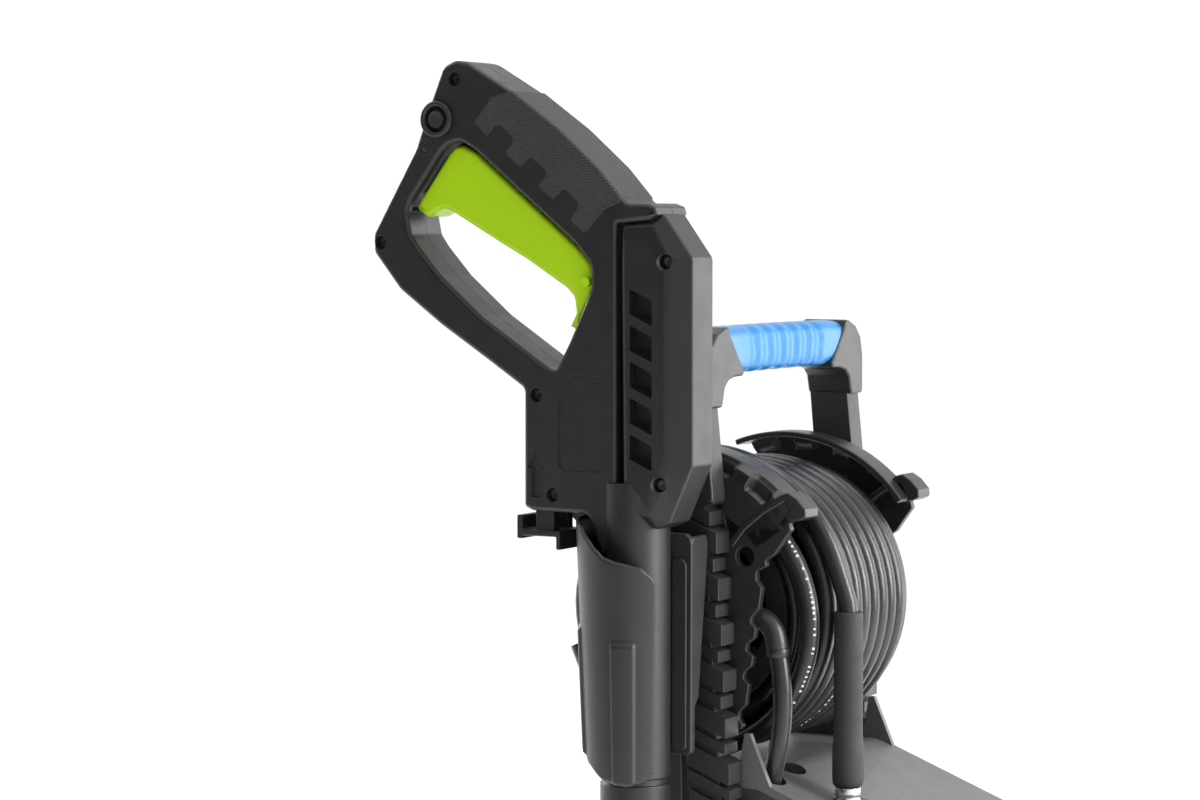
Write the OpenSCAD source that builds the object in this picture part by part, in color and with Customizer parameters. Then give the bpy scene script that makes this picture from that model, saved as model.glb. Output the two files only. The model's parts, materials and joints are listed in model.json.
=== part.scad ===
// Upright electric pressure washer with a spray gun parked in a side holster,
// a hose reel between two side uprights, and a handle across the top.
// Millimetres. +Z up, floor at Z = 0, the front faces -Y, the gun hangs on the -X side.

/* [View] */
// Which sub-component to draw, or all of them

/* [Frame] */
// Clear width between the two uprights
frame_gap = 188; // [160:1:220]
// Width of each upright
post_w = 18; // [12:1:26]
// Height of the underside of the handle grip
grip_z0 = 764; // [700:1:820]
// Height of the top of the handle grip
grip_z1 = 795; // [720:1:850]

/* [Reel] */
// Reel axis, distance behind the frame datum
reel_y = 50; // [30:1:80]
// Reel axis height
reel_z = 611; // [560:1:660]
// Outer radius of the fixed reel hoods
hood_r = 108; // [100:1:120]
// Outer radius of the wound hose
wind_r = 94.8; // [80:1:98]
// Radius of the reel drum
drum_r = 56; // [40:1:70]
// Outside diameter of the pressure hose
hose_d = 12.5; // [8:0.5:16]

/* [Gun] */
// Sideways position of the gun mid-plane
gun_x = -150; // [-170:1:-140]
// Half thickness of the gun body
gun_h = 20; // [15:0.5:24]
// Barrel axis, distance behind the frame datum
bar_y = 46.6; // [40:0.1:60]
// Barrel radius
bar_r = 22; // [16:0.5:26]

/* [Wheels] */
// Wheel axle height, also the tyre radius
wheel_r = 95; // [70:1:120]
// Wheel axle distance behind the frame datum
wheel_y = 105; // [80:1:130]
// Axle radius
axle_r = 6; // [4:0.5:10]

/* [Hidden] */
$fn = 64;
oy = -12;                 // shift that centres the whole machine over the origin
px = frame_gap / 2;       // inner face of an upright
po = px + post_w;         // outer face of an upright
gx0 = gun_x - gun_h;
gx1 = gun_x + gun_h;
hr = hose_d / 2;

// ---------------------------------------------------------------- helpers
module yz(x0, x1) { translate([x0, 0, 0]) rotate([90, 0, 90]) linear_extrude(x1 - x0) children(); }
module xz(y0, y1) { translate([0, y1, 0]) rotate([90, 0, 0]) linear_extrude(y1 - y0) children(); }
module xcyl(x0, x1, r, y, z) { translate([x0, y, z]) rotate([0, 90, 0]) cylinder(h = x1 - x0, r = r); }
module xcone(x0, x1, r0, r1, y, z) { translate([x0, y, z]) rotate([0, 90, 0]) cylinder(h = x1 - x0, r1 = r0, r2 = r1); }
module ycyl(y0, y1, r, x, z) { translate([x, y1, z]) rotate([90, 0, 0]) cylinder(h = y1 - y0, r = r); }
module zcyl(z0, z1, r, x, y) { translate([x, y, z0]) cylinder(h = z1 - z0, r = r); }
module bx(x0, x1, y0, y1, z0, z1) { translate([x0, y0, z0]) cube([x1 - x0, y1 - y0, z1 - z0]); }
// rounded rectangle from corner to corner
module rr(a0, a1, b0, b1, r) {
  translate([a0 + r, b0]) square([a1 - a0 - 2 * r, b1 - b0]);
  translate([a0, b0 + r]) square([a1 - a0, b1 - b0 - 2 * r]);
  for (a = [a0 + r, a1 - r], b = [b0 + r, b1 - r]) translate([a, b]) circle(r);
}
// slot with round ends along its first axis
module slot2(a0, a1, b, r) {
  translate([a0 + r, b - r]) square([a1 - a0 - 2 * r, 2 * r]);
  for (a = [a0 + r, a1 - r]) translate([a, b]) circle(r);
}
// mirrored copy on the +X side
module left() { mirror([1, 0, 0]) children(); }
// tube along a list of points, round section, for hoses
function sub3(a, b) = [a[0] - b[0], a[1] - b[1], a[2] - b[2]];
function unit3(v) = v / norm(v);
function tang(p, i) = unit3(sub3(p[min(i + 1, len(p) - 1)], p[max(i - 1, 0)]));
module tube3(p, r, n = 10, ref = [1, 0, 0]) {
  m = len(p);
  pts = [for (i = [0 : m - 1]) let (t = tang(p, i), a = unit3(cross(t, ref)), b = cross(t, a))
    for (k = [0 : n - 1]) p[i] + r * (cos(360 * k / n) * a + sin(360 * k / n) * b)];
  sides = [for (i = [0 : m - 2], k = [0 : n - 1]) [i * n + k, i * n + (k + 1) % n, (i + 1) * n + (k + 1) % n, (i + 1) * n + k]];
  polyhedron(points = pts, faces = concat([[for (k = [0 : n - 1]) n - 1 - k]], sides, [[for (k = [0 : n - 1]) (m - 1) * n + k]]), convexity = 6);
}

// ---------------------------------------------------------------- side frames
// Leaning upright, seen from the side: slim at the handle, deep where it carries the reel.
module post_profile() {
  polygon([[20, 788], [24, 794], [40, 790], [48, 780], [51, 762], [44, 716], [52, 690], [74, 650],
    [80, 611], [74, 575], [60, 545], [62, 480], [64, 300], [64, 190], [-44, 190], [-42, 300], [-15, 400],
    [0.5, 500], [7, 590], [12, 690], [18, 760]]);
}
module groove_bar(z, h, d) {
  // slanted groove cut into the outer side face and the front edge
  translate([-po - 1, -30, z]) rotate([25, 0, 0]) translate([0, -6, 0]) cube([1 + d, 52, h]);
}
module side_frame_body() {
  difference() {
    union() {
      yz(-po, -px) post_profile();
      // heel that reaches the chassis in front of the wheel
      yz(-po, -px) polygon([[-44, 190], [64, 190], [64, 203], [-8, 120], [-16, 62], [-96, 62], [-60, 140]]);
    }
    // wheel arch
    xcyl(-po - 1, -px + 1, wheel_r + 7, wheel_y, wheel_r);
    // rows of slanted grooves down the outer side
    for (i = [0 : 11]) groove_bar(672 - i * 30, 10, 3);
    // recessed pads between the grooves
    for (i = [0 : 10]) if (i != 1 && i != 2 && i != 3 && i != 4)
      yz(-po - 1, -po + 2.5) translate([14 - i * 2, 684 - i * 30]) polygon([[0, 0], [18, -8], [18, -22], [0, -12]]);
    // dark relief behind the front edge, facing the reel
    yz(-px - 3, -px + 1) polygon([[26, 700], [34, 706], [38, 730], [30, 724]]);
    // seat of the reel axle stub
    xcyl(-px - 12, -px + 1, 9, reel_y, reel_z);
    // screw holes for the guard plate and the handle
    for (p = [[32, 676], [14, 560], [40, 560]]) xcyl(-px - 10, -px + 1, 2, p[0], p[1]);
    // wire slot that lightens the lower half
    yz(-po - 1, -po + 4) polygon([[-6, 330], [40, 330], [44, 470], [16, 470]]);
  }
}
module side_frame_right() { color([0.10, 0.10, 0.11]) side_frame_body(); }
module side_frame_left() { color([0.10, 0.10, 0.11]) difference() {
  left() side_frame_body();
  xcyl(px - 1, po + 1, 16.1, reel_y, reel_z);
} }

// ---------------------------------------------------------------- handle
module handle_bar() { color([0.07, 0.07, 0.08]) difference() {
  union() {
    yz(-px, px) rr(16, 42, grip_z0 + 4, grip_z1 - 4, 8);
    // end brackets that grow into the uprights
    for (s = [0, 1]) mirror([s, 0, 0]) {
      yz(-px, -px + 14) rr(10, 48, grip_z0 - 2, grip_z1 - 1, 10);
      xz(14, 44) polygon([[-px, grip_z0 - 26], [-px, grip_z0 + 4], [-px + 14, grip_z0 + 4], [-px + 14, grip_z0], [-px + 22, grip_z0], [-px + 12, grip_z0 - 5], [-px + 4, grip_z0 - 16]]);
    }
  }
  for (s = [-1, 1]) ycyl(8, 50, 2, s * (px - 6), 780);
} }
module handle_grip() { color([0.0, 0.55, 0.95]) difference() {
  union() {
    yz(-80, 80) rr(9, 47, grip_z0, grip_z1, 11);
    // shallow waves over the top and front of the grip
    for (i = [-2.5 : 1 : 2.5]) xcyl(i * 20 - 6, i * 20 + 6, 11.8, 20, grip_z1 - 11);
  }
  yz(-81, 81) rr(16, 42, grip_z0 + 4, grip_z1 - 4, 8);
  for (s = [-1, 1]) xcyl(s > 0 ? 80 : -94, s > 0 ? 94 : -80, 30, 28, 780);
} }
module frame_screws() { color([0.55, 0.55, 0.57]) for (s = [0, 1]) mirror([s, 0, 0])
  for (p = [[32, 676], [14, 560], [40, 560]]) {
    xcyl(-px - 10, -px + 6, 2, p[0], p[1]);
    difference() { xcyl(-px + 6, -px + 8.5, 4.2, p[0], p[1]); xcyl(-px + 7.5, -px + 9, 1.4, p[0], p[1]); }
  }
}

// ---------------------------------------------------------------- reel guards
// Plate on the inner face of each upright: hook at the top, toothed front edge, hood over the reel.
module guard_plate() {
  difference() {
    union() {
      polygon([[14, 690], [8, 658], [-25, 688], [-34, 688], [-41, 686], [-43, 682], [-39, 678], [-34, 679],
        [-30, 669], [-22, 656], [-16, 650], [-9, 641], [-9, 636], [-13, 631], [-11, 618], [-6, 612], [-5, 609],
        [-9, 605], [-8, 599], [-3, 595], [-2, 591], [-7, 587], [-6, 581], [-1, 577], [0, 573], [-4, 569],
        [-2, 556], [3, 551], [3, 547], [0, 543], [2, 540], [56, 545], [70, 575], [74, 611], [70, 650], [50, 690]]);
      intersection() {
        translate([reel_y, reel_z]) difference() { circle(hood_r - 2); circle(hood_r - 35); }
        hood_sector();
      }
    }
    translate([-1, 648]) circle(6.5);
  }
}
module hood_sector() { polygon([[reel_y, reel_z], [-70, 712], [-40, 760], [110, 760], [88, 716]]); }
module reel_guard_body() {
  difference() {
    union() {
      yz(-px, -px + 6) guard_plate();
      // rolled rim over the winding
      intersection() {
        difference() {
          xcyl(-px, -px + 30, hood_r, reel_y, reel_z);
          xcyl(-px - 1, -px + 31, hood_r - 3.5, reel_y, reel_z);
        }
        yz(-px, -px + 30) hood_sector();
      }
      // rounded hook end
      yz(-px, -px + 12) translate([-35.5, 682.6]) circle(4.6);
      // curled rear end of the hood
      translate([0, reel_y, reel_z]) rotate([-20, 0, 0]) bx(-px + 3, -px + 28, -1, 3, hood_r - 12, hood_r - 1);
    }
    // trapezoid pockets along the rim
    for (a = [-10, 7, 24, 41]) translate([0, reel_y, reel_z]) rotate([a, 0, 0])
      bx(-px + 16, -px + 31, -7, 7, hood_r - 5, hood_r + 2);
    // clear the axle stub and the upright screws
    xcyl(-px - 1, -px + 7, 16.6, reel_y, reel_z);
    for (p = [[32, 676], [14, 560], [40, 560]]) xcyl(-px - 1, -px + 7, 2, p[0], p[1]);
  }
}
module reel_guard_right() { color([0.12, 0.12, 0.13]) reel_guard_body(); }
module reel_guard_left() { color([0.12, 0.12, 0.13]) left() reel_guard_body(); }

// ---------------------------------------------------------------- lower housing
module front_profile(d) {
  polygon([[-50, 62], [-168 + d, 62], [-186 + d, 92], [-190 + d, 200], [-183 + d, 330], [-164 + d, 436 - d], [-150 + d * 0.6, 450 - d], [-50, 488 - d]]);
}
module front_cover() { color([0.09, 0.09, 0.10]) difference() {
  intersection() {
    yz(-94, 94) front_profile(0);
    translate([0, 0, 60]) linear_extrude(440) { rr(-94, 94, -190, -30, 34); translate([-94, -120]) square([188, 90]); }
  }
  intersection() {
    yz(-91, 91) translate([0, -0.01]) front_profile(3.5);
    translate([0, 0, 50]) linear_extrude(450) { rr(-91, 91, -187, -30, 31); translate([-91, -120]) square([182, 90]); }
  }
  bx(-91, 91, -60, -40, 50, 600);
  zcyl(400, 560, 14, -55, -55);
  // cooling louvres on the front face
  for (i = [0 : 8]) bx(-52, 52, -200, -170, 120 + i * 15, 125 + i * 15);
  // seat of the switch
  ycyl(-200, -150, 9.1, 0, 352);
  // side louvres
  for (i = [0 : 5]) bx(-100, 100, -140, -84, 132 + i * 18, 138 + i * 18);
} }
module rear_cover() { color([0.08, 0.08, 0.09]) difference() {
  union() {
    yz(-94, 94) polygon([[-50, 205], [60, 205], [60, 502.5], [-10, 503.2], [-50, 488]]);
    yz(-74, 74) polygon([[-50, 62], [62, 62], [62, 206], [-50, 206]]);
    // raised rear panel
    yz(-60, 60) polygon([[60, 230], [66, 240], [66, 430], [60, 440]]);
  }
  yz(-90, 90) polygon([[-51, 208], [57, 208], [57, 499.5], [-10, 500], [-51, 484.4]]);
  yz(-71, 71) polygon([[-51, 60], [59, 60], [59, 209], [-51, 209]]);
  // inlet opening and cable opening
  ycyl(40, 80, 12, 30, 150);
  ycyl(40, 80, 9, -34, 180);
  // vent slots high on the rear
  for (i = [0 : 5]) bx(-50, 50, 50, 80, 340 + i * 14, 345 + i * 14);
  // top stays open under the deck
  bx(-86, 86, -48, 36, 480, 520);
  zcyl(400, 560, 14, -55, -55);
  // hook pivots
  ycyl(50, 80, 3, 0, 460);
  ycyl(50, 80, 3.06, 0, 250);
} }
// Sloping deck with a nozzle pocket and the hose openings
module deck_frame() { translate([0, 14, 517]) rotate([21, 0, 0]) children(); }
module top_deck() { color([0.13, 0.13, 0.14]) difference() {
  union() {
    yz(-94, 94) polygon([[-150, 450], [-10, 503.2], [60, 502.5], [62, 505], [60, 508], [-4, 510], [-10, 508.8], [-148, 456.4], [-152, 452]]);
    // side wings that rise to the uprights
    for (s = [0, 1]) mirror([s, 0, 0]) yz(-94, -90) polygon([[-70, 481.2], [-60, 488], [-21, 501], [-5, 538], [-1, 538], [3, 514], [3, 504.5], [-10, 503.6]]);
    // pocket walls
    translate([0, 0, 440]) linear_extrude(64) rotate(90) slot2(-20, 20, 42, 15);
    // parking boss for the hose coupling
    zcyl(462, 494, 14, -55, -55);
  }
  translate([0, 0, 443]) linear_extrude(120) rotate(90) slot2(-17.5, 17.5, 42, 12.5);
  zcyl(460, 560, 9.6, -55, -55);
  // hole for the connecting hose
  zcyl(420, 560, 11, -77, -10);
} }
module base_tray() { color([0.07, 0.07, 0.08]) difference() {
  union() {
    translate([0, 0, 28]) linear_extrude(34) rr(-98, 98, -186, -4, 26);
    translate([0, 0, 34]) linear_extrude(28) rr(-76, 76, -40, 128, 12);
    // axle bosses
    for (s = [-1, 1]) { xcyl(s * 70 - 6, s * 70 + 6, 16, wheel_y, wheel_r); bx(s * 70 - 6, s * 70 + 6, wheel_y - 16, wheel_y + 16, 50, wheel_r); }
  }
  translate([0, 0, 34]) linear_extrude(30) rr(-92, 92, -180, -10, 20);
  translate([0, 0, 40]) linear_extrude(30) rr(-60, 60, -30, 122, 8);
  xcyl(-90, 90, axle_r, wheel_y, wheel_r);
  for (s = [-1, 1]) zcyl(20, 50, 5, s * 72, -158);
} }
module rubber_feet() { color([0.03, 0.03, 0.03]) for (s = [-1, 1]) {
  zcyl(0, 28, 15, s * 72, -158);
  zcyl(28, 40, 5, s * 72, -158);
} }

// ---------------------------------------------------------------- wheels
module axle() { color([0.6, 0.6, 0.62]) xcyl(-121, 121, axle_r, wheel_y, wheel_r); }
module wheel_body() { difference() {
  union() {
    // rim barrel
    difference() { xcyl(-118, -86, 76, wheel_y, wheel_r); xcyl(-119, -106, 68, wheel_y, wheel_r); xcyl(-102, -85, 68, wheel_y, wheel_r); }
    xcyl(-118, -84, 16, wheel_y, wheel_r);
    // spokes
    for (a = [0 : 5]) translate([0, wheel_y, wheel_r]) rotate([a * 60, 0, 0]) bx(-113, -104, -9, 9, 10, 70);
  }
  xcyl(-125, -80, axle_r + 0.06, wheel_y, wheel_r);
  // windows between the spokes
  for (a = [0 : 5]) translate([0, wheel_y, wheel_r]) rotate([a * 60 + 30, 0, 0]) translate([0, 0, 42]) xcyl(-130, -80, 12, 0, 0);
} }
module tyre_body() { difference() {
  xcyl(-120, -84, wheel_r, wheel_y, wheel_r);
  xcyl(-121, -83, 76, wheel_y, wheel_r);
  // tread grooves
  for (x = [-111, -102, -93]) difference() { xcyl(x - 1.2, x + 1.2, wheel_r + 1, wheel_y, wheel_r); xcyl(x - 2, x + 2, wheel_r - 3, wheel_y, wheel_r); }
} }
module wheel_right() { color([0.5, 0.5, 0.52]) wheel_body(); }
module wheel_left() { color([0.5, 0.5, 0.52]) left() wheel_body(); }
module tyre_right() { color([0.04, 0.04, 0.04]) tyre_body(); }
module tyre_left() { color([0.04, 0.04, 0.04]) left() tyre_body(); }
module hubcap_body() { difference() {
  union() { xcone(-126, -121.5, 12, 20, wheel_y, wheel_r); xcyl(-121.5, -118, 20, wheel_y, wheel_r); }
  xcyl(-122, -117, axle_r + 0.4, wheel_y, wheel_r);
} }
module hubcap_right() { color([0.0, 0.55, 0.95]) hubcap_body(); }
module hubcap_left() { color([0.0, 0.55, 0.95]) left() hubcap_body(); }

// ---------------------------------------------------------------- holster and lance clip
module holster() { color([0.14, 0.14, 0.15]) difference() {
  union() {
    translate([gun_x, bar_y, 526]) cylinder(h = 156, r1 = 27.5, r2 = 33);
    // ribs on the near side
    translate([gun_x, bar_y, 526]) for (a = [180, 205, 150]) rotate(a) bx(20, 30, -4.5, 4.5, 4, 90);
  }
  translate([gun_x, bar_y, 525]) cylinder(h = 158, r1 = 24.2, r2 = 30);
  // open front, facing -Y
  bx(gun_x - 16, gun_x + 22.5, bar_y - 60, bar_y, 500, 700);
  // flat back towards the upright
  bx(gun_x + 22, gun_x + 60, bar_y - 60, bar_y + 60, 500, 700);
  // sloping mouth
  yz(gun_x - 50, gun_x + 50) polygon([[-20, 640], [20, 650], [27, 657], [56, 662], [66, 669], [72, 677], [82, 678.5], [82, 700], [-20, 700]]);
  // sloping lower edge
  yz(gun_x - 50, gun_x + 50) polygon([[-20, 500], [100, 500], [100, 532], [64, 530], [45, 526], [31, 524], [20, 529], [-20, 535]]);
  // small flat under the hose socket of the gun
  bx(gun_x - 25, gun_x + 25, 78, 90, 500, 700);
  ycyl(0, bar_y, 1.5, gun_x - 22, 566);
} }
module holster_plate() { color([0.11, 0.11, 0.12]) difference() {
  union() {
    yz(gun_x + 22, gun_x + 26) polygon([[12, 540], [24, 530], [84, 534], [84, 668], [20, 666], [12, 660]]);
    // raised front rim
    yz(gun_x + 17, gun_x + 22) polygon([[12, 562], [17, 560], [17, 664], [12, 660]]);
    // two feet on the upright
    for (z = [556, 630]) bx(gun_x + 26, -po, 18, 54, z, z + 16);
  }
  for (z = [564, 638]) xcyl(gun_x + 20, -po + 1, 2, 36, z);
} }
module lance_clip() { color([0.11, 0.11, 0.12]) difference() {
  union() { zcyl(226, 248, 18, gun_x, bar_y); bx(gun_x, -po, bar_y - 12, bar_y + 12, 226, 248); }
  zcyl(220, 260, 14, gun_x, bar_y);
  bx(gun_x - 9, gun_x + 9, bar_y - 30, bar_y, 220, 260);
} }

// ---------------------------------------------------------------- motor and pump
module motor_can() { color([0.45, 0.45, 0.47]) difference() {
  union() {
    zcyl(214, 372, 56, 0, -112);
    for (a = [0 : 11]) translate([0, -112, 230]) rotate(a * 30) bx(50, 60, -1.5, 1.5, 0, 120);
    zcyl(372, 384, 20, 0, -112);
  }
  zcyl(220, 366, 50, 0, -112);
  zcyl(200, 400, axle_r + 0.06, 0, -112);
} }
module rotor_shaft() { color([0.6, 0.6, 0.62]) {
  zcyl(204, 398, axle_r, 0, -112);
  difference() { zcyl(240, 340, 40, 0, -112); zcyl(239, 341, axle_r, 0, -112); }
} }
module cooling_fan() { color([0.85, 0.85, 0.82]) difference() {
  union() {
    zcyl(388, 398, 12, 0, -112);
    zcyl(388, 390, 44, 0, -112);
    for (a = [0 : 7]) translate([0, -112, 390]) rotate(a * 45) bx(10, 44, -1, 1, 0, 8);
  }
  zcyl(380, 400, axle_r, 0, -112);
} }
module pump_head() { color([0.62, 0.62, 0.64]) difference() {
  union() {
    zcyl(160, 214, 46, 0, -112);
    translate([0, 0, 96]) linear_extrude(64) rr(-42, 42, -152, -72, 10);
    for (a = [0 : 2]) translate([0, -112, 84]) rotate(a * 120 + 30) zcyl(0, 14, 12, 24, 0);
    // feet onto the chassis
    for (x = [-34, 34], y = [-144, -80]) zcyl(34, 100, 6, x, y);
    // delivery pipe up to the reel and supply pipe from the rear
    ycyl(-76, 30, 7, 30, 150);
  }
  zcyl(196, 214, axle_r + 2, 0, -112);
  for (a = [0 : 2]) translate([0, -112, 170]) rotate(a * 120) zcyl(0, 45, 8, 24, 0);
  ycyl(-60, 31, 4.5, 30, 150);
} }
module unloader() { color([0.72, 0.58, 0.25]) difference() {
  union() { zcyl(160, 204, 11, -60, -112); xcyl(-60, -40, 8, -112, 172); zcyl(204, 214, 6, -60, -112); }
  zcyl(150, 190, 4, -60, -112);
  zcyl(150, 220, 46, 0, -112);
} }
module capacitor() { color([0.75, 0.75, 0.72]) {
  zcyl(290, 362, 17, -61, -64);
  for (s = [-1, 1]) zcyl(362, 370, 2.5, -61 + s * 6, -64);
  difference() { bx(-56, -36, -78, -62, 310, 340); zcyl(300, 350, 56, 0, -112); }
} }
module inlet_connector() { color([0.72, 0.58, 0.25]) difference() {
  union() {
    ycyl(30, 62, 12, 30, 150);
    ycyl(62, 84, 13.2, 30, 150);
    ycyl(84, 88, 11, 30, 150);
    ycyl(26, 30, 9, 30, 150);
  }
  ycyl(20, 90, 8, 30, 150);
} }
module inlet_filter() { color([0.2, 0.45, 0.8]) difference() {
  ycyl(60, 82, 8, 30, 150);
  ycyl(64, 83, 6, 30, 150);
} }
module outlet_connector() { color([0.72, 0.58, 0.25]) difference() {
  union() {
    zcyl(420, 444, 9, -74, -8);
    zcyl(404, 420, 6.5, -74, -8);
    bx(-90, -66, -16, 0, 404, 416);
  }
  zcyl(400, 450, 3.5, -74, -8);
} }
module cable_gland() { color([0.05, 0.05, 0.05]) difference() {
  union() { ycyl(56, 66, 9, -34, 180); translate([-34, 84, 180]) rotate([90, 0, 0]) cylinder(h = 18, r1 = 6.5, r2 = 11); }
  ycyl(50, 90, 4.2, -34, 180);
} }
module hook_shape() { difference() {
  union() { xz(66.5, 84) rr(-20, 20, -6, 6, 5); xz(84, 90) rr(-20, 20, -12, 12, 6); }
} }
module cord_hook_upper() { color([0.09, 0.09, 0.10]) difference() {
  union() { translate([0, 0, 460]) hook_shape(); ycyl(56, 68, 3, 0, 460); bx(-14, 14, 60, 66.5, 450, 470); }
} }
module cord_hook_lower() { color([0.09, 0.09, 0.10]) union() {
  translate([0, 0, 250]) hook_shape(); ycyl(55, 68, 3, 0, 250);
} }
module switch_knob() { color([0.0, 0.55, 0.95]) difference() {
  union() {
    ycyl(-196, -184.5, 26, 0, 352);
    bx(-26, 26, -206, -195, 346, 358);
    ycyl(-190, -173, 9, 0, 352);
  }
  for (s = [-1, 1]) bx(s * 26 - 6, s * 26 + 6, -210, -180, 340, 345);
} }

// ---------------------------------------------------------------- hoses
link_pts = [[-79, 5.95, 611], [-79, 0, 611], [-79, -7, 609], [-79, -14, 602.5], [-79, -18.5, 592], [-79, -21, 578],
  [-79, -22, 560], [-79, -21, 543], [-79, -18, 527], [-78.5, -13.5, 514], [-77, -9.5, 502], [-75.5, -8, 490], [-74.5, -8, 476], [-74, -8, 460], [-74, -8, 444]];
module hose_link() { color([0.04, 0.04, 0.045]) tube3(link_pts, hr, 12); }
tail_r = wind_r + hr + 0.6;
tail_pts = concat([for (a = [100 : 8 : 164]) [-55, reel_y + tail_r * cos(a), reel_z + tail_r * sin(a)]],
  [[-55, -51.8, 628], [-55, -54.4, 620], [-55, -55, 614]]);
module hose_tail() { color([0.04, 0.04, 0.045]) tube3(tail_pts, hr, 12); }
module hose_sleeve() { color([0.05, 0.05, 0.05]) difference() {
  union() { zcyl(503, 614, 9.3, -55, -55); zcyl(503, 530, 10.2, -55, -55); }
  zcyl(500, 616, 4.5, -55, -55);
} }
module hose_coupling() { color([0.72, 0.72, 0.74]) difference() {
  union() { zcyl(474, 503, 8.6, -55, -55); zcyl(460, 474, 6.2, -55, -55); zcyl(503, 516, 4.5, -55, -55); zcyl(452, 460, 7.4, -55, -55); }
  zcyl(450, 518, 2.5, -55, -55);
} }
module hose_coil() { color([0.05, 0.05, 0.055]) translate([-62, reel_y, reel_z]) rotate([0, 90, 0])
  rotate_extrude() polygon(concat([[drum_r + 0.2, 0], [drum_r + 0.2, 124]],
    [for (i = [0 : 9]) each [[wind_r - 1.6, 124 - i * 12.4], [wind_r, 121 - i * 12.4], [wind_r, 115.4 - i * 12.4], [wind_r - 1.6, 112.4 - i * 12.4]]])); }

// ---------------------------------------------------------------- reel
module reel_drum() { color([0.10, 0.10, 0.11]) difference() {
  union() {
    difference() { xcyl(-66, 66, drum_r, reel_y, reel_z); xcyl(-67, 62, drum_r - 4, reel_y, reel_z); }
    // near flange, a narrow ring so the winding stays in view
    difference() { xcyl(-66, -62.3, 66, reel_y, reel_z); xcyl(-67, -62, drum_r - 4, reel_y, reel_z); }
    // far flange
    xcyl(62.3, 66, 90, reel_y, reel_z);
    // hub through the far upright
    xcyl(-66, 112, 16, reel_y, reel_z);
    xcyl(112, 124, 10, reel_y, reel_z);
    // spokes inside the drum
    for (a = [0 : 5]) translate([0, reel_y, reel_z]) rotate([a * 60, 0, 0]) { bx(-62, 63, -1.5, 1.5, 14, drum_r - 3); }
  }
  xcyl(-80, 60, 9.06, reel_y, reel_z);
  // windows in the far flange
  for (a = [0 : 5]) translate([0, reel_y, reel_z]) rotate([a * 60 + 30, 0, 0]) translate([0, 0, 72]) xcyl(60, 70, 11, 0, 0);
} }
module reel_swivel() { color([0.72, 0.58, 0.25]) difference() {
  union() {
    xcyl(-px - 12, 40, 9, reel_y, reel_z);
    xcyl(-86, -70, 15, reel_y, reel_z);
    ycyl(6, reel_y, 8, -79, reel_z);
  }
  xcyl(-px, 41, 4, reel_y, reel_z);
  ycyl(5, reel_y, 4, -79, reel_z);
} }
module crank_arm() { color([0.12, 0.12, 0.13]) difference() {
  union() {
    xcyl(114, 124, 20, reel_y, reel_z);
    yz(115, 123) polygon([[reel_y - 14, reel_z - 4], [reel_y + 14, reel_z - 4], [reel_y + 10, reel_z - 66], [reel_y - 10, reel_z - 66]]);
    xcyl(115, 123, 10, reel_y, reel_z - 66);
    xcyl(122, 160, 5, reel_y, reel_z - 66);
    xcyl(160, 164, 7, reel_y, reel_z - 66);
  }
  xcyl(110, 130, 10, reel_y, reel_z);
} }
module crank_knob() { color([0.0, 0.55, 0.95]) difference() {
  union() {
    xcyl(124, 182, 12, reel_y, reel_z - 66);
    xcone(124, 130, 15, 12, reel_y, reel_z - 66);
    xcyl(175, 182, 13.5, reel_y, reel_z - 66);
  }
  xcyl(120, 160.5, 5.06, reel_y, reel_z - 66);
  xcyl(159.5, 164.5, 7.4, reel_y, reel_z - 66);
} }

// ---------------------------------------------------------------- spray gun
module gun_outline() { polygon([[167, 962], [172, 960], [176, 957], [179, 952], [187, 933], [197, 907], [228, 856], [230, 850],
  [230, 844], [227, 837], [209, 818], [178, 796], [141, 773], [116, 757], [116, 685], [112, 681], [70, 680], [66, 672], [60, 655], [50, 655],
  [50, 861], [26, 863], [20, 866], [21, 870], [26, 872], [41, 872], [61, 893], [90, 918], [125, 943], [157, 961], [162, 963]]); }
module guard_cut() { polygon([[172, 910], [164, 912], [154, 907], [79, 847], [68, 835], [67, 820], [72, 810], [83, 788], [95, 768], [101, 772],
  [148, 802], [178, 827], [196, 846], [200, 852], [204, 868], [202, 873], [178, 905]]); }
module trig_cavity() { polygon([[207, 870], [205, 880], [191, 899], [179, 911], [166, 922], [156, 928], [146, 924], [70, 862], [58, 848], [55, 830], [58, 812], [70, 802], [90, 800]]); }
module grip_band() { polygon([[124, 943], [139, 940], [153, 924], [142, 914], [134, 922], [123, 913], [130, 904], [118, 894], [110, 901], [99, 892],
  [106, 883], [94, 874], [86, 881], [76, 872], [83, 862], [71, 853], [57, 868], [43, 873], [61, 893], [90, 918]]); }
module back_strip(d) { polygon([[41, 872], [61, 893], [90, 918], [125, 943], [125 + d, 943 - d], [92 + d, 914 - d], [63 + d, 889 - d], [44 + d, 872 - d]]); }
module soft_region(e) {
  yz(gx0 - e, gx0 + 2) grip_band();
  yz(gx1 - 2, gx1 + e) grip_band();
  yz(gx0 - e, gx1 + e) back_strip(2);
}
body_screws = [[167, 951], [223, 848], [107, 753], [95, 691]];
cover_screws = [[15, 837], [19, 700]];
module screw_cut(p) { xcyl(gx0 - 1, gx0 + 4, 4.4, p[0], p[1]); xcyl(gx0 + 3, gx0 + 7, 3.4, p[0], p[1]); xcyl(gx0 + 6, gx1 - 8, 1.6, p[0], p[1]); }
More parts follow.
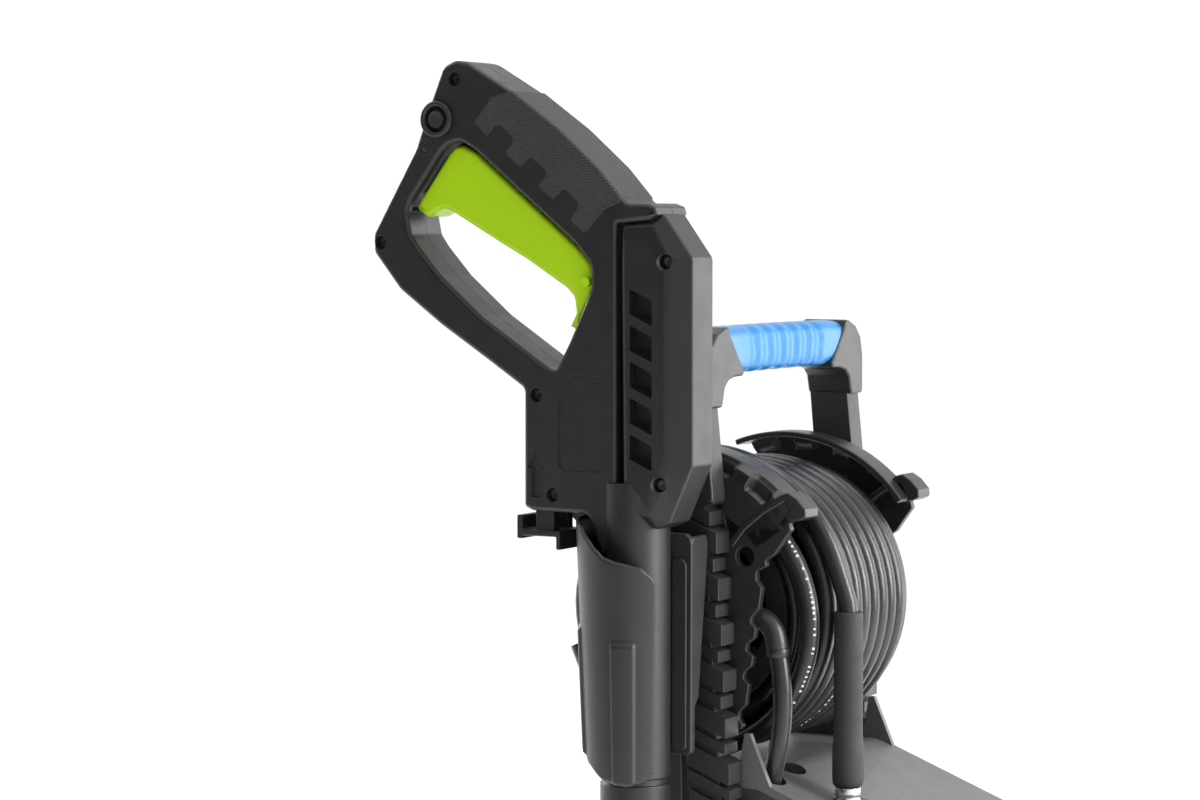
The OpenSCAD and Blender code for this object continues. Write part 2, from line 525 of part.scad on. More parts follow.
module gun_inner() {
  // space behind the trigger
  yz(gun_x - 13.5, gun_x + 13.5) { trig_cavity(); guard_cut(); }
  // bore for the barrel and the valve
  zcyl(640, 700, bar_r, gun_x, bar_y);
  zcyl(699, 790, 12, gun_x, 64);
  // trigger pin seat
  xcyl(gun_x - 17, gun_x + 17, 3, 73, 824);
  // hose socket and clip slots in the block
  zcyl(670, 714, 6.5, gun_x, 85);
  for (s = [-1, 1]) bx(gun_x + s * 9 - 3.4, gun_x + s * 9 + 3.4, 98.1, 112.4, 670, 708);
  // cross bore of the safety button
  xcyl(gx0 - 4, gx1 + 4, 5.56, 180, 926);
  for (p = body_screws) screw_cut(p);
}
module gun_half(x0, x1) { difference() {
  union() {
    yz(x0, x1) gun_outline();
    // raised ring around the safety button
    xcyl(x0 < gun_x - 1 ? gx0 - 2.5 : x0, x1 > gun_x + 1 ? gx1 + 2.5 : x1, 11.8, 180, 926);
  }
  yz(x0 - 1, x1 + 1) guard_cut();
  gun_inner();
  soft_region(3);
} }
module gun_shell_right() { color([0.08, 0.08, 0.09]) difference() {
  gun_half(gx0, gun_x);
  // recessed plain panel and the arrow above the hose clip
  yz(gx0 - 1, gx0 + 0.8) polygon([[82, 766], [59, 766], [58, 706], [88, 706], [91, 710], [91, 750]]);
  yz(gx0 - 1, gx0 + 0.8) polygon([[107, 716], [113, 707], [110, 707], [110, 689], [103, 689], [103, 707], [100, 707]]);
} }
module gun_shell_left() { color([0.08, 0.08, 0.09]) gun_half(gun_x, gx1); }
module barrel_cover() { color([0.08, 0.08, 0.09]) difference() {
  union() {
    yz(gx0 + 2, gx1 - 2) polygon([[30, 862], [26, 863], [19, 865], [-1, 839], [-1, 712], [16, 675], [24, 672], [32, 675], [46, 690], [47, 705], [47, 838], [44, 860]]);
    yz(gx0 + 0.5, gx1 - 0.5) polygon([[26, 858], [20, 859], [5, 838], [5, 712], [17, 684], [24, 680], [36, 692], [38, 705], [38, 838]]);
  }
  for (i = [0 : 4]) for (x = [gx0 - 1, gx1 - 2.5]) yz(x, x + 3.5) translate([0, -22.3 * i]) polygon([[40, 822], [22, 816], [22, 800], [40, 806]]);
  zcyl(640, 700, bar_r, gun_x, bar_y);
  zcyl(699, 790, 12, gun_x, 64);
  for (p = cover_screws) screw_cut(p);
} }
module soft_grip() { color([0.05, 0.05, 0.05]) soft_region(1); }
module gun_screws() { color([0.2, 0.2, 0.21]) for (p = concat(body_screws, cover_screws)) {
  difference() { xcyl(gx0 + 4, gx0 + 7, 3.4, p[0], p[1]); xcyl(gx0 + 3, gx0 + 5, 1.5, p[0], p[1]); }
  xcyl(gx0 + 7, gx1 - 8, 1.6, p[0], p[1]);
} }
module barrel_tube() { color([0.09, 0.09, 0.10]) difference() {
  union() { zcyl(500, 700, bar_r, gun_x, bar_y); }
  zcyl(499, 690, 12, gun_x, bar_y);
  difference() { zcyl(512, 516, bar_r + 1, gun_x, bar_y); zcyl(511, 517, bar_r - 1.5, gun_x, bar_y); }
  zcyl(688, 701, 5, gun_x, bar_y);
} }
module valve_body() { color([0.72, 0.58, 0.25]) difference() {
  union() { zcyl(700, 786, 12, gun_x, 64); }
  zcyl(699, 770, 4, gun_x, 64);
} }
module trigger_profile() { polygon([[165, 909], [155, 904.5], [81, 844.5], [71, 834], [70, 821], [74.5, 811], [85, 790.5], [83, 805], [84, 815], [89, 820], [118, 837],
  [137, 847], [178, 870], [184, 868], [188, 865.5], [191, 864], [196, 865], [200, 869], [200, 872], [176, 904], [171, 908.5]]); }
module trigger() { color([0.70, 0.88, 0.0]) difference() {
  yz(gun_x - 13, gun_x + 13) trigger_profile();
  xcyl(gun_x - 14, gun_x + 14, 3.06, 73, 824);
} }
module trigger_pin() { color([0.6, 0.6, 0.62]) xcyl(gun_x - 17, gun_x + 17, 3, 73, 824); }
module trigger_spring() { color([0.6, 0.6, 0.62]) difference() {
  zcyl(850.4, 870.5, 3.5, gun_x, 84); zcyl(850, 871, 2.4, gun_x, 84);
} }
module lock_button() { color([0.03, 0.03, 0.03]) difference() {
  union() { xcyl(gx0 - 3.5, gx1 + 3.5, 5.5, 180, 926); }
  xcyl(gx0 - 4, gx0 - 2, 3.5, 180, 926);
} }
module hose_clip() { color([0.06, 0.06, 0.07]) union() {
  bx(gun_x - 15, gun_x + 15, 92.5, 124, 664, 668);
  bx(gun_x - 15, gun_x + 15, 120, 124, 662, 677);
  bx(gun_x - 15, gun_x + 15, 92.5, 95.5, 656, 668);
  for (s = [-1, 1]) bx(gun_x + s * 9 - 3, gun_x + s * 9 + 3, 98.5, 112, 667, 700);
} }
module lance_collar() { color([0.07, 0.07, 0.08]) difference() {
  union() { zcyl(476, 499.5, 21, gun_x, bar_y); zcyl(499.5, 530, 11.6, gun_x, bar_y); zcyl(462, 476, 14, gun_x, bar_y); }
  for (a = [0 : 2]) translate([gun_x, bar_y, 0]) rotate(a * 120 + 20) bx(17, 24, -6, 6, 488, 501);
  zcyl(450, 540, 5, gun_x, bar_y);
} }
module lance_tube() { color([0.65, 0.65, 0.67]) difference() {
  union() { zcyl(262, 462, 8, gun_x, bar_y); zcyl(462, 530, 5, gun_x, bar_y); zcyl(250, 262, 6, gun_x, bar_y); }
  zcyl(240, 540, 3, gun_x, bar_y);
} }
module nozzle_head() { color([0.06, 0.06, 0.07]) difference() {
  union() {
    zcyl(214, 256, 13, gun_x, bar_y);
    translate([gun_x, bar_y, 256]) cylinder(h = 5.5, r1 = 13, r2 = 10);
    translate([gun_x, bar_y, 202]) cylinder(h = 12, r1 = 9, r2 = 12);
  }
  zcyl(244, 263, 6.06, gun_x, bar_y);
  zcyl(200, 250, 2.5, gun_x, bar_y);
} }

module at() { translate([0, oy, 0]) children(); }
at() side_frame_right();
at() side_frame_left();
at() reel_guard_right();
at() reel_guard_left();
at() handle_bar();
at() handle_grip();
at() frame_screws();
at() front_cover();
at() rear_cover();
at() top_deck();
at() base_tray();
at() rubber_feet();
at() axle();
at() wheel_right();
at() wheel_left();
at() tyre_right();
at() tyre_left();
at() hubcap_right();
at() hubcap_left();
at() holster();
at() holster_plate();
at() lance_clip();
at() motor_can();
at() rotor_shaft();
at() cooling_fan();
at() pump_head();
at() unloader();
at() capacitor();
at() inlet_connector();
at() inlet_filter();
at() outlet_connector();
at() cable_gland();
at() cord_hook_upper();
at() cord_hook_lower();
at() switch_knob();
at() hose_link();
at() hose_tail();
at() hose_sleeve();
at() hose_coupling();
at() hose_coil();
at() reel_drum();
at() reel_swivel();
at() crank_arm();
at() crank_knob();
at() gun_shell_right();
at() gun_shell_left();
at() barrel_cover();
at() soft_grip();
at() gun_screws();
at() barrel_tube();
at() valve_body();
at() trigger();
at() trigger_pin();
at() trigger_spring();
at() lock_button();
at() hose_clip();
at() lance_collar();
at() lance_tube();
at() nozzle_head();
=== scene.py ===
import bpy, bmesh, json, math, random
from mathutils import Vector, Matrix, Quaternion

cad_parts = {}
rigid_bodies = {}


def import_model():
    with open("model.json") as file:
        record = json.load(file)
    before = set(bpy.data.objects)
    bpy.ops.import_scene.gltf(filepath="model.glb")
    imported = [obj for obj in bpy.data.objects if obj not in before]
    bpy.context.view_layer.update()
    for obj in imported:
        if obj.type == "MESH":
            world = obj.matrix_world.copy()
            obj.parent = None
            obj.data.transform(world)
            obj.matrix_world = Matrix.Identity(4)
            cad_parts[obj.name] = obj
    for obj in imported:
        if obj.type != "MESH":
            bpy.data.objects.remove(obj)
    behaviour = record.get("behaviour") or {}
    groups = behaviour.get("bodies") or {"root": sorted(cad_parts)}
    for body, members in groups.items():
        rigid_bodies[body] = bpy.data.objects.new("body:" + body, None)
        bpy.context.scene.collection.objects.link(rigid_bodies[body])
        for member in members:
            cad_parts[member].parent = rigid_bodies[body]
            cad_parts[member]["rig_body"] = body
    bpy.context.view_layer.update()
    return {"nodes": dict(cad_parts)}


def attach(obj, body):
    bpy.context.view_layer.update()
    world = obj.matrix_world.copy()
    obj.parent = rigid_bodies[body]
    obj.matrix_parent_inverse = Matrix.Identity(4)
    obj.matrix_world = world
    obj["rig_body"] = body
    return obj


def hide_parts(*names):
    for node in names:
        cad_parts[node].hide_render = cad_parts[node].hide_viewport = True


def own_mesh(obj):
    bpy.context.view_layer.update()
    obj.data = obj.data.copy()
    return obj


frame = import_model()
NODES = frame["nodes"]
OY = -12.0          # shift of the part's drawing datum, millimetres
SC = bpy.context.scene
COL = SC.collection


def V(x, y, z):
    """A point of the drawing (millimetres) in the row frame (metres)."""
    return Vector((x / 1000.0, (y + OY) / 1000.0, z / 1000.0))


# ------------------------------------------------------------------ camera
cam_data = bpy.data.cameras.new("cam")
cam_data.lens = 96.0
cam_data.sensor_width = 36.0
cam_data.clip_end = 50
cam = bpy.data.objects.new("cam", cam_data)
COL.objects.link(cam)
TH, PH = math.radians(30.0), math.radians(3.2)
DIR = Vector((math.cos(TH) * math.cos(PH), math.sin(TH) * math.cos(PH), -math.sin(PH)))
cam.location = V(-150, 72, 750) - DIR * 2.0
cam.rotation_euler = DIR.to_track_quat("-Z", "Y").to_euler()
SC.camera = cam


# ------------------------------------------------------------------ materials
def new_mat(name):
    m = bpy.data.materials.new(name)
    m.use_nodes = True
    nt = m.node_tree
    bsdf = nt.nodes["Principled BSDF"]
    return m, nt, bsdf


def link(nt, a, b):
    nt.links.new(a, b)


def coords(nt, scale=(1, 1, 1)):
    tc = nt.nodes.new("ShaderNodeTexCoord")
    mp = nt.nodes.new("ShaderNodeMapping")
    mp.inputs["Scale"].default_value = scale
    link(nt, tc.outputs["Object"], mp.inputs["Vector"])
    return mp.outputs["Vector"]


def noise(nt, vec, scale, detail=3.0, rough=0.55):
    n = nt.nodes.new("ShaderNodeTexNoise")
    n.inputs["Scale"].default_value = scale
    n.inputs["Detail"].default_value = detail
    n.inputs["Roughness"].default_value = rough
    link(nt, vec, n.inputs["Vector"])
    return n.outputs["Fac"]


def ramp(nt, fac, stops):
    r = nt.nodes.new("ShaderNodeValToRGB")
    el = r.color_ramp.elements
    while len(el) > 1:
        el.remove(el[-1])
    el[0].position = stops[0][0]
    el[0].color = stops[0][1]
    for p, c in stops[1:]:
        e = el.new(p)
        e.color = c
    link(nt, fac, r.inputs["Fac"])
    return r.outputs["Color"]


def maprange(nt, fac, a, b, lo, hi):
    m = nt.nodes.new("ShaderNodeMapRange")
    m.inputs["From Min"].default_value = a
    m.inputs["From Max"].default_value = b
    m.inputs["To Min"].default_value = lo
    m.inputs["To Max"].default_value = hi
    link(nt, fac, m.inputs["Value"])
    return m.outputs["Result"]


def math_node(nt, op, a, b):
    m = nt.nodes.new("ShaderNodeMath")
    m.operation = op
    for i, x in enumerate((a, b)):
        if isinstance(x, (int, float)):
            m.inputs[i].default_value = x
        else:
            link(nt, x, m.inputs[i])
    return m.outputs[0]


def bump(nt, bsdf, height, dist, strength=1.0, prev=None):
    b = nt.nodes.new("ShaderNodeBump")
    b.inputs["Strength"].default_value = strength
    b.inputs["Distance"].default_value = dist
    link(nt, height, b.inputs["Height"])
    if prev is not None:
        link(nt, prev, b.inputs["Normal"])
    return b.outputs["Normal"]


def moulded(name, dark, light, rough=(0.38, 0.5), grain=2600.0, grain_h=0.00006, wave_h=0.00012,
            spec=0.5, coat=0.0, dust=0.0, sheen=0.0):
    """Injection-moulded plastic: fine spark texture, slight sink waviness, faint handling marks."""
    m, nt, bsdf = new_mat(name)
    vec = coords(nt)
    big = noise(nt, vec, 9.0, 4.0, 0.6)
    col = ramp(nt, big, [(0.3, (*dark, 1)), (0.72, (*light, 1))])
    if dust > 0:
        # pale dust that settles on upward faces
        geo = nt.nodes.new("ShaderNodeNewGeometry")
        sep = nt.nodes.new("ShaderNodeSeparateXYZ")
        link(nt, geo.outputs["Normal"], sep.inputs[0])
        up = maprange(nt, sep.outputs["Z"], 0.5, 1.0, 0.0, dust)
        spots = noise(nt, vec, 140.0, 5.0, 0.7)
        amount = math_node(nt, "MULTIPLY", up, maprange(nt, spots, 0.35, 0.7, 0.2, 1.0))
        mx = nt.nodes.new("ShaderNodeMix")
        mx.data_type = "RGBA"
        link(nt, amount, mx.inputs[0])
        link(nt, col, mx.inputs[6])
        mx.inputs[7].default_value = (0.32, 0.31, 0.29, 1)
        col = mx.outputs[2]
    link(nt, col, bsdf.inputs["Base Color"])
    rn = noise(nt, vec, 60.0, 5.0, 0.65)
    link(nt, maprange(nt, rn, 0.25, 0.75, rough[0], rough[1]), bsdf.inputs["Roughness"])
    bsdf.inputs["Specular IOR Level"].default_value = spec
    bsdf.inputs["Coat Weight"].default_value = coat
    bsdf.inputs["Coat Roughness"].default_value = 0.18
    bsdf.inputs["Sheen Weight"].default_value = sheen
    n1 = bump(nt, bsdf, noise(nt, vec, 22.0, 2.0, 0.5), wave_h, 0.5)
    n2 = bump(nt, bsdf, noise(nt, vec, grain, 2.0, 0.6), grain_h, 0.8, n1)
    link(nt, n2, bsdf.inputs["Normal"])
    return m


def metal(name, color, rough=(0.22, 0.38), brushed=(1, 1, 1), scale=700.0, h=0.00002):
    m, nt, bsdf = new_mat(name)
    vec = coords(nt, brushed)
    g = noise(nt, vec, scale, 4.0, 0.6)
    tint = noise(nt, coords(nt), 30.0, 4.0, 0.6)
    c0 = tuple(c * 0.82 for c in color)
    link(nt, ramp(nt, tint, [(0.3, (*c0, 1)), (0.7, (*color, 1))]), bsdf.inputs["Base Color"])
    bsdf.inputs["Metallic"].default_value = 1.0
    link(nt, maprange(nt, g, 0.3, 0.7, rough[0], rough[1]), bsdf.inputs["Roughness"])
    link(nt, bump(nt, bsdf, g, h, 0.6), bsdf.inputs["Normal"])
    return m


def knurled(name, dark, light, pitch=0.0016):
    """Soft overmould with a fine diamond texture, laid out in the side plane; painted shade darkens the diamond
    valleys.
    """
    m, nt, bsdf = new_mat(name)
    tc = nt.nodes.new("ShaderNodeTexCoord")
    sep = nt.nodes.new("ShaderNodeSeparateXYZ")
    link(nt, tc.outputs["Object"], sep.inputs[0])
    k = 2 * math.pi / pitch
    # directions at +-32 degrees to the grip's length, with X folded in for the back of the grip
    c, s = math.cos(math.radians(40)), math.sin(math.radians(40))
    def wave(dy, dz, dx):
        a = math_node(nt, "MULTIPLY", sep.outputs["Y"], dy * k)
        b = math_node(nt, "MULTIPLY", sep.outputs["Z"], dz * k)
        d = math_node(nt, "MULTIPLY", sep.outputs["X"], dx * k)
        t = math_node(nt, "ADD", math_node(nt, "ADD", a, b), d)
        return math_node(nt, "ABSOLUTE", math_node(nt, "SINE", math_node(nt, "MULTIPLY", t, 0.5), 0.0), 0.0)
    w1 = wave(c, s, 0.7)
    w2 = wave(-0.1, 1.0, -0.7)
    hgt = math_node(nt, "MINIMUM", w1, w2)
    vec = coords(nt)
    big = noise(nt, vec, 14.0, 3.0)
    base = ramp(nt, big, [(0.3, (*dark, 1)), (0.7, (*light, 1))])
    # painted shade: the knurl's valleys are mixed towards a third of the dark tone, as shade in the recesses
    mx = nt.nodes.new("ShaderNodeMix")
    mx.data_type = "RGBA"
    link(nt, maprange(nt, hgt, 0.0, 0.8, 0.0, 1.0), mx.inputs[0])
    mx.inputs[6].default_value = (dark[0] * 0.35, dark[1] * 0.35, dark[2] * 0.35, 1)
    link(nt, base, mx.inputs[7])
    link(nt, mx.outputs[2], bsdf.inputs["Base Color"])
    link(nt, maprange(nt, hgt, 0.0, 1.0, 0.75, 0.5), bsdf.inputs["Roughness"])
    link(nt, bump(nt, bsdf, hgt, 0.0005, 0.9), bsdf.inputs["Normal"])
    return m


def hose_mat(name):
    """Smooth extruded rubber with a faint weave telegraphing through as fine bumps; the pale print dashes are separate
    pieces.
    """
    m, nt, bsdf = new_mat(name)
    vec = coords(nt)
    big = noise(nt, vec, 18.0, 4.0)
    link(nt, ramp(nt, big, [(0.3, (0.006, 0.006, 0.007, 1)), (0.75, (0.016, 0.016, 0.018, 1))]), bsdf.inputs["Base Color"])
    link(nt, maprange(nt, noise(nt, vec, 90.0, 5.0, 0.7), 0.3, 0.7, 0.24, 0.4), bsdf.inputs["Roughness"])
    n1 = bump(nt, bsdf, noise(nt, vec, 420.0, 2.0), 0.00012, 0.5)
    link(nt, bump(nt, bsdf, noise(nt, vec, 2400.0, 2.0), 0.00004, 0.6, n1), bsdf.inputs["Normal"])
    return m


M_GUN = moulded("mat_gun_black", (0.0075, 0.0075, 0.008), (0.012, 0.012, 0.0128), (0.36, 0.48), 2400, 0.00007)
M_FRAME = moulded("mat_frame_black", (0.012, 0.012, 0.0125), (0.020, 0.020, 0.021), (0.4, 0.52), 1900, 0.0001)
M_GUARD = moulded("mat_guard_black", (0.010, 0.010, 0.0105), (0.016, 0.016, 0.0168), (0.3, 0.42), 2200, 0.00008)
M_HOLSTER = moulded("mat_holster_grey", (0.015, 0.015, 0.016), (0.026, 0.026, 0.0275), (0.36, 0.48), 1800, 0.00009)
M_COVER = moulded("mat_cover_black", (0.016, 0.016, 0.017), (0.026, 0.026, 0.028), (0.35, 0.5), 1600, 0.0001, dust=0.08)
M_DECK = moulded("mat_deck_grey", (0.075, 0.075, 0.078), (0.105, 0.105, 0.11), (0.38, 0.5), 1600, 0.0001, dust=0.06)
M_BLUE = moulded("mat_grip_blue", (0.0, 0.125, 0.34), (0.0, 0.145, 0.38), (0.3, 0.42), 1500, 0.00006, coat=0.1)
M_LIME = moulded("mat_trigger_lime", (0.36, 0.60, 0.0), (0.40, 0.66, 0.0), (0.34, 0.46), 1800, 0.00005)
M_SOFT = knurled("mat_soft_knurl", (0.02, 0.02, 0.021), (0.034, 0.034, 0.036))
M_HOSE = hose_mat("mat_hose")
M_RUBBER = moulded("mat_rubber", (0.012, 0.012, 0.012), (0.022, 0.022, 0.022), (0.6, 0.8), 1200, 0.00015)
M_TYRE = moulded("mat_tyre", (0.012, 0.012, 0.012), (0.026, 0.025, 0.024), (0.65, 0.85), 900, 0.0002, dust=0.2)
M_WHEEL = moulded("mat_wheel_grey", (0.03, 0.03, 0.032), (0.05, 0.05, 0.053), (0.38, 0.5), 1500, 0.00009)
M_STEEL = metal("mat_steel", (0.66, 0.66, 0.68), (0.2, 0.36), (1, 1, 0.05))
M_ZINC = metal("mat_zinc", (0.74, 0.74, 0.76), (0.2, 0.34), (0.2, 0.2, 1.0))
M_BRASS = metal("mat_brass", (0.80, 0.62, 0.27), (0.2, 0.38))
M_ALU = metal("mat_alu", (0.62, 0.62, 0.64), (0.4, 0.6), (1, 1, 1), 300, 0.0001)
M_MOTOR = moulded("mat_motor_paint", (0.05, 0.052, 0.055), (0.08, 0.082, 0.085), (0.35, 0.5), 900, 0.0001, coat=0.1)
M_PALE = moulded("mat_pale", (0.6, 0.6, 0.57), (0.72, 0.72, 0.69), (0.4, 0.55), 1500, 0.00008)
M_SCREW = metal("mat_screw", (0.12, 0.12, 0.13), (0.28, 0.42), (1, 1, 1), 900, 0.00003)

MATS = {}
for names, mat in (
    ("side_frame_right side_frame_left", M_FRAME),
    ("reel_guard_right reel_guard_left handle_bar", M_GUARD),
    ("front_cover rear_cover base_tray cord_hook_upper cord_hook_lower", M_COVER),
    ("top_deck", M_DECK),
    ("holster", M_HOLSTER), ("holster_plate lance_clip", M_GUARD),
    ("gun_shell_right gun_shell_left barrel_cover barrel_tube hose_clip lance_collar nozzle_head", M_GUN),
    ("cable_gland hose_sleeve lock_button rubber_feet", M_RUBBER),
    ("reel_drum crank_arm", M_GUARD),
    ("handle_grip switch_knob hubcap_right hubcap_left crank_knob", M_BLUE),
    ("trigger", M_LIME), ("soft_grip", M_SOFT),
    ("hose_link hose_tail hose_coil", M_HOSE),
    ("tyre_right tyre_left", M_TYRE), ("wheel_right wheel_left", M_WHEEL),
    ("inlet_connector unloader outlet_connector reel_swivel valve_body", M_BRASS),
    ("axle rotor_shaft trigger_spring lance_tube", M_STEEL), ("trigger_pin", M_LIME), ("hose_coupling", M_ZINC),
    ("frame_screws", M_STEEL), ("gun_screws", M_SCREW),
    ("pump_head", M_ALU), ("motor_can", M_MOTOR),
    ("cooling_fan capacitor inlet_filter", M_PALE),
):
    for n in names.split():
        MATS[n] = mat


def set_mat(o, m):
    o.data.materials.clear()
    o.data.materials.append(m)


def soften(node, width=0.0008, seg=2, angle=28):
    """Rounds the sharp edges of a CAD node with modifiers, the way a moulding has them."""
    o = NODES[node]
    for nm in ("custom_normal",):
        a = o.data.attributes.get(nm)
        if a is not None:
            o.data.attributes.remove(a)
    for p in o.data.polygons:
        p.use_smooth = True
    w = o.modifiers.new("weld", "WELD")
    w.merge_threshold = 0.00001
    d = o.modifiers.new("planar", "DECIMATE")
    d.decimate_type = "DISSOLVE"
    d.angle_limit = math.radians(0.5)
    b = o.modifiers.new("edge", "BEVEL")
    b.width = width
    b.segments = seg
    b.limit_method = "ANGLE"
    b.angle_limit = math.radians(angle)
    b.harden_normals = True
    b.use_clamp_overlap = True
    return o


for n, o in NODES.items():
    set_mat(o, MATS[n])

for n in NODES:
    if n in ("hose_link", "hose_tail", "hose_coil"):
        continue
    soften(n, 0.0009 if n not in ("gun_screws", "frame_screws", "trigger_spring", "trigger_pin", "inlet_filter", "cooling_fan") else 0.0003)


# ------------------------------------------------------------------ mesh helpers
GX = -150.0
GX0, GX1 = -170.0, -130.0


def fillet(pts, r=3.0, n=6):
    """Closed outline with each corner rounded; a third number on a point is its own radius."""
    out = []
    m = len(pts)
    for i in range(m):
        p0, p1, p2 = Vector(pts[i - 1][:2]), Vector(pts[i][:2]), Vector(pts[(i + 1) % m][:2])
        ri = pts[i][2] if len(pts[i]) > 2 else r
        d0, d2 = p0 - p1, p2 - p1
        l0, l2 = d0.length, d2.length
        d0, d2 = d0 / l0, d2 / l2
        ang = math.acos(max(-1, min(1, d0.dot(d2))))
        if ri <= 0 or ang > math.radians(176):
            out.append(p1)
            continue
        t = min(ri / math.tan(ang / 2), 0.48 * l0, 0.48 * l2)
        rr = t * math.tan(ang / 2)
        a, b = p1 + d0 * t, p1 + d2 * t
        c = p1 + (d0 + d2).normalized() * (rr / math.sin(ang / 2))
        a0, a1 = math.atan2(a.y - c.y, a.x - c.x), math.atan2(b.y - c.y, b.x - c.x)
        da = (a1 - a0 + math.pi) % (2 * math.pi) - math.pi
        k = max(2, int(n * abs(da) / (math.pi / 2)) + 1)
        for j in range(k + 1):
            out.append(c + Vector((math.cos(a0 + da * j / k), math.sin(a0 + da * j / k))) * rr)
    return out


def ring(y, z, r, n=40):
    return [Vector((y + r * math.cos(2 * math.pi * i / n), z + r * math.sin(2 * math.pi * i / n))) for i in range(n)]


def obj_from(name, me, mat=None, body=None, smooth=True):
    o = bpy.data.objects.new(name, me)
    COL.objects.link(o)
    if mat is not None:
        set_mat(o, mat)
    if smooth:
        for p in me.polygons:
            p.use_smooth = True
    if body:
        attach(o, body)
    return o


def evaluated(o, name=None):
    """The object's mesh with its modifiers applied, and the object removed."""
    bpy.context.view_layer.update()
    dg = bpy.context.evaluated_depsgraph_get()
    me = bpy.data.meshes.new_from_object(o.evaluated_get(dg), depsgraph=dg)
    me.name = name or o.name
    bpy.data.objects.remove(o)
    return me


def plate_mesh(name, loops, x0, x1, bev, seg=3):
    """Solid of a side-plane outline between two X values, its rims rounded by bev. Millimetres in, metres out."""
    cu = bpy.data.curves.new(name, "CURVE")
    cu.dimensions = "2D"
    cu.fill_mode = "BOTH"
    for lp in loops:
        sp = cu.splines.new("POLY")
        sp.points.add(len(lp) - 1)
        for p, q in zip(sp.points, lp):
            p.co = (q[0] / 1000.0, q[1] / 1000.0, 0, 1)
        sp.use_cyclic_u = True
    cu.bevel_depth = bev / 1000.0
    cu.bevel_resolution = max(0, seg - 1)
    cu.extrude = max(0.0, ((x1 - x0) / 2 - bev) / 1000.0)
    cu.offset = -bev / 1000.0
    o = bpy.data.objects.new(name, cu)
    COL.objects.link(o)
    me = evaluated(o, name)
    bpy.data.curves.remove(cu)
    me.transform(Matrix(((0, 0, 1, (x0 + x1) / 2000.0), (1, 0, 0, OY / 1000.0), (0, 1, 0, 0), (0, 0, 0, 1))))
    bm = bmesh.new()
    bm.from_mesh(me)
    bmesh.ops.remove_doubles(bm, verts=bm.verts, dist=0.00002)
    bmesh.ops.recalc_face_normals(bm, faces=bm.faces)
    bm.to_mesh(me)
    bm.free()
    me.materials.clear()
    return me


def lathe_mesh(name, prof, axis, n=48, closed=True):
    """prof is [(along, radius)] in mm; axis gives a function (along, a, b) -> Vector in metres."""
    bm = bmesh.new()
    rows = []
    for (s, r) in prof:
        if r < 1e-6:
            rows.append([bm.verts.new(axis(s, 0, 0))])
        else:
            rows.append([bm.verts.new(axis(s, r * math.cos(2 * math.pi * k / n), r * math.sin(2 * math.pi * k / n))) for k in range(n)])
    for a, b in zip(rows, rows[1:]):
        for k in range(n):
            k2 = (k + 1) % n
            if len(a) == 1 and len(b) == 1:
                continue
            if len(a) == 1:
                bm.faces.new((a[0], b[k2], b[k]))
            elif len(b) == 1:
                bm.faces.new((a[k], a[k2], b[0]))
            else:
                bm.faces.new((a[k], a[k2], b[k2], b[k]))
    bmesh.ops.recalc_face_normals(bm, faces=bm.faces)
    me = bpy.data.meshes.new(name)
    bm.to_mesh(me)
    bm.free()
    return me


def ax_x(y, z):
    return lambda s, a, b: V(s, y + a, z + b)


def ax_z(x, y):
    return lambda s, a, b: V(x + a, y + b, s)


def join_meshes(name, meshes):
    bm = bmesh.new()
    for m in meshes:
        bm.from_mesh(m)
    me = bpy.data.meshes.new(name)
    bm.to_mesh(me)
    bm.free()
    return me


def carve(me, cutters, name):
    """Mesh me minus the cutter meshes."""
    o = bpy.data.objects.new(name + "_t", me)
    COL.objects.link(o)
    extra = []
    for i, c in enumerate(cutters):
        co = bpy.data.objects.new(f"{name}_c{i}", c)
        COL.objects.link(co)
        extra.append(co)
        md = o.modifiers.new(f"b{i}", "BOOLEAN")
        md.operation = "DIFFERENCE"
        md.solver = "EXACT"
        md.object = co
    me2 = evaluated(o, name)
    for co in extra:
        bpy.data.objects.remove(co)
    me2.materials.clear()
    return me2


def half(me, name, x_cut, keep_low):
    bm = bmesh.new()
    bm.from_mesh(me)
    g = bm.verts[:] + bm.edges[:] + bm.faces[:]
    bmesh.ops.bisect_plane(bm, geom=g, plane_co=(x_cut / 1000.0, 0, 0), plane_no=(1, 0, 0), clear_outer=keep_low, clear_inner=not keep_low)
    out = bpy.data.meshes.new(name)
    bm.to_mesh(out)
    bm.free()
    return out


def smart_normals(me, sharp=48.0, merge=0.00002):
    """Flat areas keep their own normal right up to their rounded rims, so long thin triangles don't show."""
    bm = bmesh.new()
    bm.from_mesh(me)
    bmesh.ops.remove_doubles(bm, verts=bm.verts, dist=merge)
    bmesh.ops.dissolve_degenerate(bm, edges=bm.edges, dist=0.000005)
    bm.faces.ensure_lookup_table()
    bm.normal_update()
    bm.faces.index_update()
    n = len(bm.faces)
    nrm = [f.normal.copy() for f in bm.faces]
    cl = [-1] * n
    area = []
    flat = math.cos(math.radians(0.6))
    for i in range(n):
        if cl[i] >= 0:
            continue
        k = len(area)
        cl[i] = k
        tot, stack = 0.0, [bm.faces[i]]
        while stack:
            f = stack.pop()
            tot += f.calc_area()
            for e in f.edges:
                for g in e.link_faces:
                    if cl[g.index] < 0 and nrm[g.index].dot(nrm[i]) > flat:
                        cl[g.index] = k
                        stack.append(g)
        area.append(tot)
    lim = math.cos(math.radians(sharp))
    out = []
    for f in bm.faces:
        for l in f.loops:
            acc = Vector((0, 0, 0))
            for g in l.vert.link_faces:
                if nrm[g.index].dot(nrm[f.index]) > lim:
                    acc += nrm[g.index] * (area[cl[g.index]] ** 1.5)
            if acc.length < 1e-16:
                acc = nrm[f.index].copy()
            out.append(acc.normalized())
    for f in bm.faces:
        f.smooth = True
    bm.to_mesh(me)
    bm.free()
    me.normals_split_custom_set([tuple(v) for v in out])
    return me


